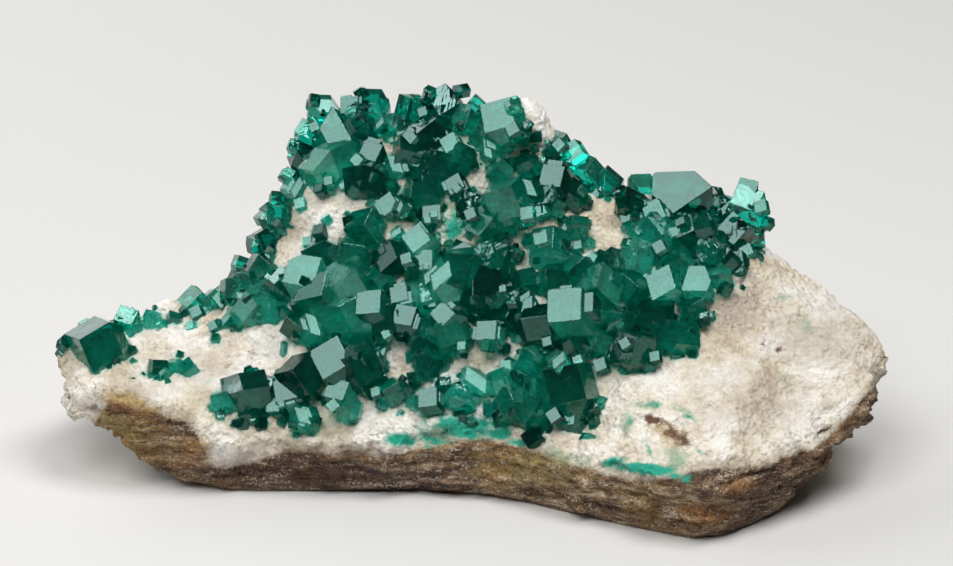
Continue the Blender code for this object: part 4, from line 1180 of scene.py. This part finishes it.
def dioptase_crystal():
    """Clear green dioptase: grown faces are almost as smooth as glass, with low growth steps."""
    made, tree = new_material("dioptase_crystal")
    local = add_node(tree, "ShaderNodeAttribute", attribute_name="local_place")
    shade = add_node(tree, "ShaderNodeAttribute", attribute_name="shade")
    place = add_node(tree, "ShaderNodeTexCoord")
    # veils of fine fluid inclusions, a few millimetres apart, make some parts milkier
    veils = noise(tree, place.outputs["Object"], 420.0, 3.0, 0.6)
    # a face's shade is the crystal's own tone, with painted reflection that differs from face to face and
    # painted shade on the darkest crystals
    tone = add_node(tree, "ShaderNodeMix", {
        0: VEIL_SHARE, 2: shade.outputs["Fac"], 3: veils,
    }, data_type="FLOAT")
    tint = ramp(tree, tone.outputs[0], [
        (0.12, "#07504A"), (0.4, "#118876"), (0.62, "#2AC4AE"), (0.85, "#93F8E2"),
    ])
    steps = add_node(tree, "ShaderNodeTexVoronoi", {
        "Vector": local.outputs["Vector"], "Scale": 2.2, "Randomness": 0.9,
    }, distance="CHEBYCHEV")
    along = add_node(tree, "ShaderNodeMapping", {
        "Vector": local.outputs["Vector"], "Scale": (0.6, 0.6, 9.0),
    })
    lines = noise(tree, along.outputs["Vector"], 1.0, 1.0)
    # the faces are never quite flat, so a reflection fades within a face
    waves = noise(tree, local.outputs["Vector"], 0.8, 0.0)
    fine = sum_of(tree, steps.outputs["Distance"], lines)
    relief = add_node(tree, "ShaderNodeMath", {0: waves, 1: WAVE_HEIGHT, 2: fine}, operation="MULTIPLY_ADD")
    bump = add_node(tree, "ShaderNodeBump", {
        "Height": relief.outputs[0], "Strength": 0.05, "Distance": 0.001,
    })
    surface = add_node(tree, "ShaderNodeBsdfPrincipled", {
        "Base Color": tint, "Roughness": 0.03, "IOR": 1.67,
        "Transmission Weight": 0.94, "Normal": bump.outputs["Normal"],
        "Specular Tint": (*linear("#CDFFF6"), 1),
    })
    inside = add_node(tree, "ShaderNodeVolumeAbsorption", {
        "Color": (*linear("#00F6F4"), 1), "Density": 1000.0,
    })
    add_node(tree, "ShaderNodeOutputMaterial", {
        "Surface": surface.outputs["BSDF"], "Volume": inside.outputs["Volume"],
    })
    return made


green_crystal = dioptase_crystal()
for piece in dioptase_pieces:
    piece.data.materials.clear()
    piece.data.materials.append(green_crystal)

# %% [markdown]
# Calcite is a soft white carbonate. Here it is a mass of millimetre grains, so it looks like packed
# sugar: cream white, a little translucent, and glinting where a grain's cleavage shows. The host rock
# is a weathered, bedded limestone: thin tan and grey-brown beds with pale grains, rusty where iron
# has come out of it. One grades into the other, so both materials mix the same two colours, by how
# brown each place is.

# %% Colours of the stone
# The sockets of a Mix node that carry colours.
MIX_A, MIX_B, MIXED = 6, 7, 2


def share_of(tree, value, low, high, most=1.0):
    """A share that goes from 0 to `most` as a value goes from low to high."""
    return add_node(tree, "ShaderNodeMapRange", {
        "Value": value, "From Min": low, "From Max": high, "To Max": most,
    }).outputs["Result"]


def laid_over(tree, share, under, over):
    """A colour with a share of another laid over it, which may be a hex code."""
    top = (*linear(over), 1) if isinstance(over, str) else over
    return add_node(tree, "ShaderNodeMix", {
        0: share, MIX_A: under, MIX_B: top,
    }, data_type="RGBA").outputs[MIXED]


def stained(tree, colour, ragged, stains):
    """Lays stains over a colour: each spreads where its patch and the ragged noise add up."""
    for name, stain, low, high in stains:
        mask = add_node(tree, "ShaderNodeAttribute", attribute_name=name).outputs["Fac"]
        colour = laid_over(tree, share_of(tree, sum_of(tree, mask, ragged), low, high), colour, stain)
    return colour


def calcite_colour(tree, place, ragged):
    """Cream white with beige clouds, grey veils, rust, copper dust and a painted green glow."""
    tone = ramp(tree, noise(tree, place, 110.0, 8.0, 0.62), [
        (0.32, "#C9B89C"), (0.43, "#E6DAC4"), (0.52, "#F8F1E3"), (0.62, "#FFFCF5"),
    ])
    # brown pits, a third of a millimetre across, in loose clusters
    pits, clusters = noise(tree, place, 1500.0, 2.0), noise(tree, place, 130.0, 3.0)
    pitted = share_of(tree, sum_of(tree, pits, clusters), 1.17, 1.36, 0.6)
    return stained(tree, laid_over(tree, pitted, tone, "#8A7459"), ragged, (
        ("grey_veil", "#B3A594", 0.45, 1.1), ("weathering", "#9C8A70", 1.0, 1.9),
        ("green_veil", "#9DB293", 0.8, 1.2), ("rust_tint", "#B59A68", 0.85, 1.15),
        ("rust", "#644229", 0.9, 1.08), ("copper_dust", "#14A98D", 0.86, 1.12),
        # painted light: a pale green glow on the calcite round the crystals
        ("painted_green_glow", "#6FCDB8", 1.0, 1.6),
    ))


def rock_colour(tree, place, ragged):
    """Dark and tan beds about two millimetres thick, stained, and speckled with pale and dark grains."""
    along = add_node(tree, "ShaderNodeMapping", {
        "Vector": place, "Rotation": BED_TILT, "Scale": (1.0, 1.0, 5.0),
    }).outputs["Vector"]
    tone = ramp(tree, noise(tree, along, 95.0, 8.0, 0.72, 1.4), [
        (0.33, "#24160E"), (0.43, "#563C28"), (0.52, "#866A4C"), (0.6, "#B59C7C"), (0.68, "#DDD0B8"),
    ])
    colour = stained(tree, tone, ragged, (
        ("olive_tint", "#AB9558", 0.85, 1.6), ("dark_tint", "#4A2C24", 0.7, 1.8),
        ("rust_tint", "#A26C38", 0.9, 1.5), ("green_veil", "#6F8A5C", 0.9, 1.5),
        ("copper_dust", "#14A98D", 0.86, 1.12),
    ))
    # ochre clouds, and thin dark cracks that follow the beds in waves
    ochre = share_of(tree, noise(tree, place, 75.0, 5.0), 0.5, 0.66, 0.6)
    waves = noise(tree, along, 70.0, 6.0, 0.6)
    middle = add_node(tree, "ShaderNodeMath", {0: waves, 1: 0.5}, operation="SUBTRACT")
    away = add_node(tree, "ShaderNodeMath", {0: middle.outputs[0]}, operation="ABSOLUTE")
    crack = add_node(tree, "ShaderNodeMapRange", {
        "Value": away.outputs[0], "From Max": 0.016, "To Min": 0.85, "To Max": 0.0,
    })
    colour = laid_over(tree, ochre, colour, "#96703A")
    colour = laid_over(tree, crack.outputs["Result"], colour, "#1E140D")
    # grains of 0.4 mm, crowded in some places and missing in others
    grain = sum_of(tree, noise(tree, place, 2300.0, 3.0, 0.6), noise(tree, along, 200.0, 4.0, 0.6))
    for grain_colour, low, high in (("#DCCFBE", 1.06, 1.3), ("#1E130D", 0.94, 0.74)):
        colour = laid_over(tree, share_of(tree, grain, low, high, 0.75), colour, grain_colour)
    return colour


def stone_material(name, roughness, bump_height, veil):
    """Stone that grades from white calcite to brown rock by the brown share of each place."""
    made, tree = new_material(name)
    place = add_node(tree, "ShaderNodeTexCoord").outputs["Object"]
    ragged = noise(tree, place, 420.0, 5.0, 0.7)
    white = calcite_colour(tree, place, ragged)
    brown = rock_colour(tree, place, ragged)
    share = add_node(tree, "ShaderNodeAttribute", attribute_name="brown").outputs["Fac"]
    edge = share_of(tree, sum_of(tree, share, ragged), 0.8, 1.2)
    mixed = laid_over(tree, edge, white, brown)
    grains = add_node(tree, "ShaderNodeTexVoronoi", {"Vector": place, "Scale": 1100.0})
    relief = sum_of(tree, grains.outputs["Distance"], noise(tree, place, 1900.0, 4.0, 0.7))
    bump = add_node(tree, "ShaderNodeBump", {
        "Height": relief, "Strength": 0.8, "Distance": bump_height * MM,
    })
    surface = add_node(tree, "ShaderNodeBsdfPrincipled", {
        "Base Color": mixed, "Roughness": roughness, "IOR": 1.6,
        "Normal": bump.outputs["Normal"], "Subsurface Weight": veil,
        "Subsurface Radius": (1.0, 0.9, 0.8), "Subsurface Scale": 1.2 * MM,
    })
    add_node(tree, "ShaderNodeOutputMaterial", {"Surface": surface.outputs["BSDF"]})
    return made


# %% Calcite and host rock
calcite.data.materials.append(stone_material("calcite_sugar", 0.5, 0.7, 0.08))
rock.data.materials.append(stone_material("bedded_limestone", 0.85, 0.8, 0.0))

# %% The floor's matt paint
paint, paint_tree = new_material("matt_pale_paint")
mottle = add_node(paint_tree, "ShaderNodeTexNoise", {"Scale": 3.0})
pale = ramp(paint_tree, mottle.outputs["Fac"], [(0.3, "#CBCAC7"), (0.7, "#CFCECB")])
matt = add_node(paint_tree, "ShaderNodeBsdfPrincipled", {"Base Color": pale, "Roughness": 0.9})
add_node(paint_tree, "ShaderNodeOutputMaterial", {"Surface": matt.outputs["BSDF"]})
floor.data.materials.append(paint)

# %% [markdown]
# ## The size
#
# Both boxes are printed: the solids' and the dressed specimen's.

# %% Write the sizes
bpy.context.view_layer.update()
for label, (low, high) in (("solids", cad_box), ("dressed", [list(c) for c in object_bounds()])):
    print(label, "box in mm:", [round((b - a) / MM, 1) for a, b in zip(low, high)])
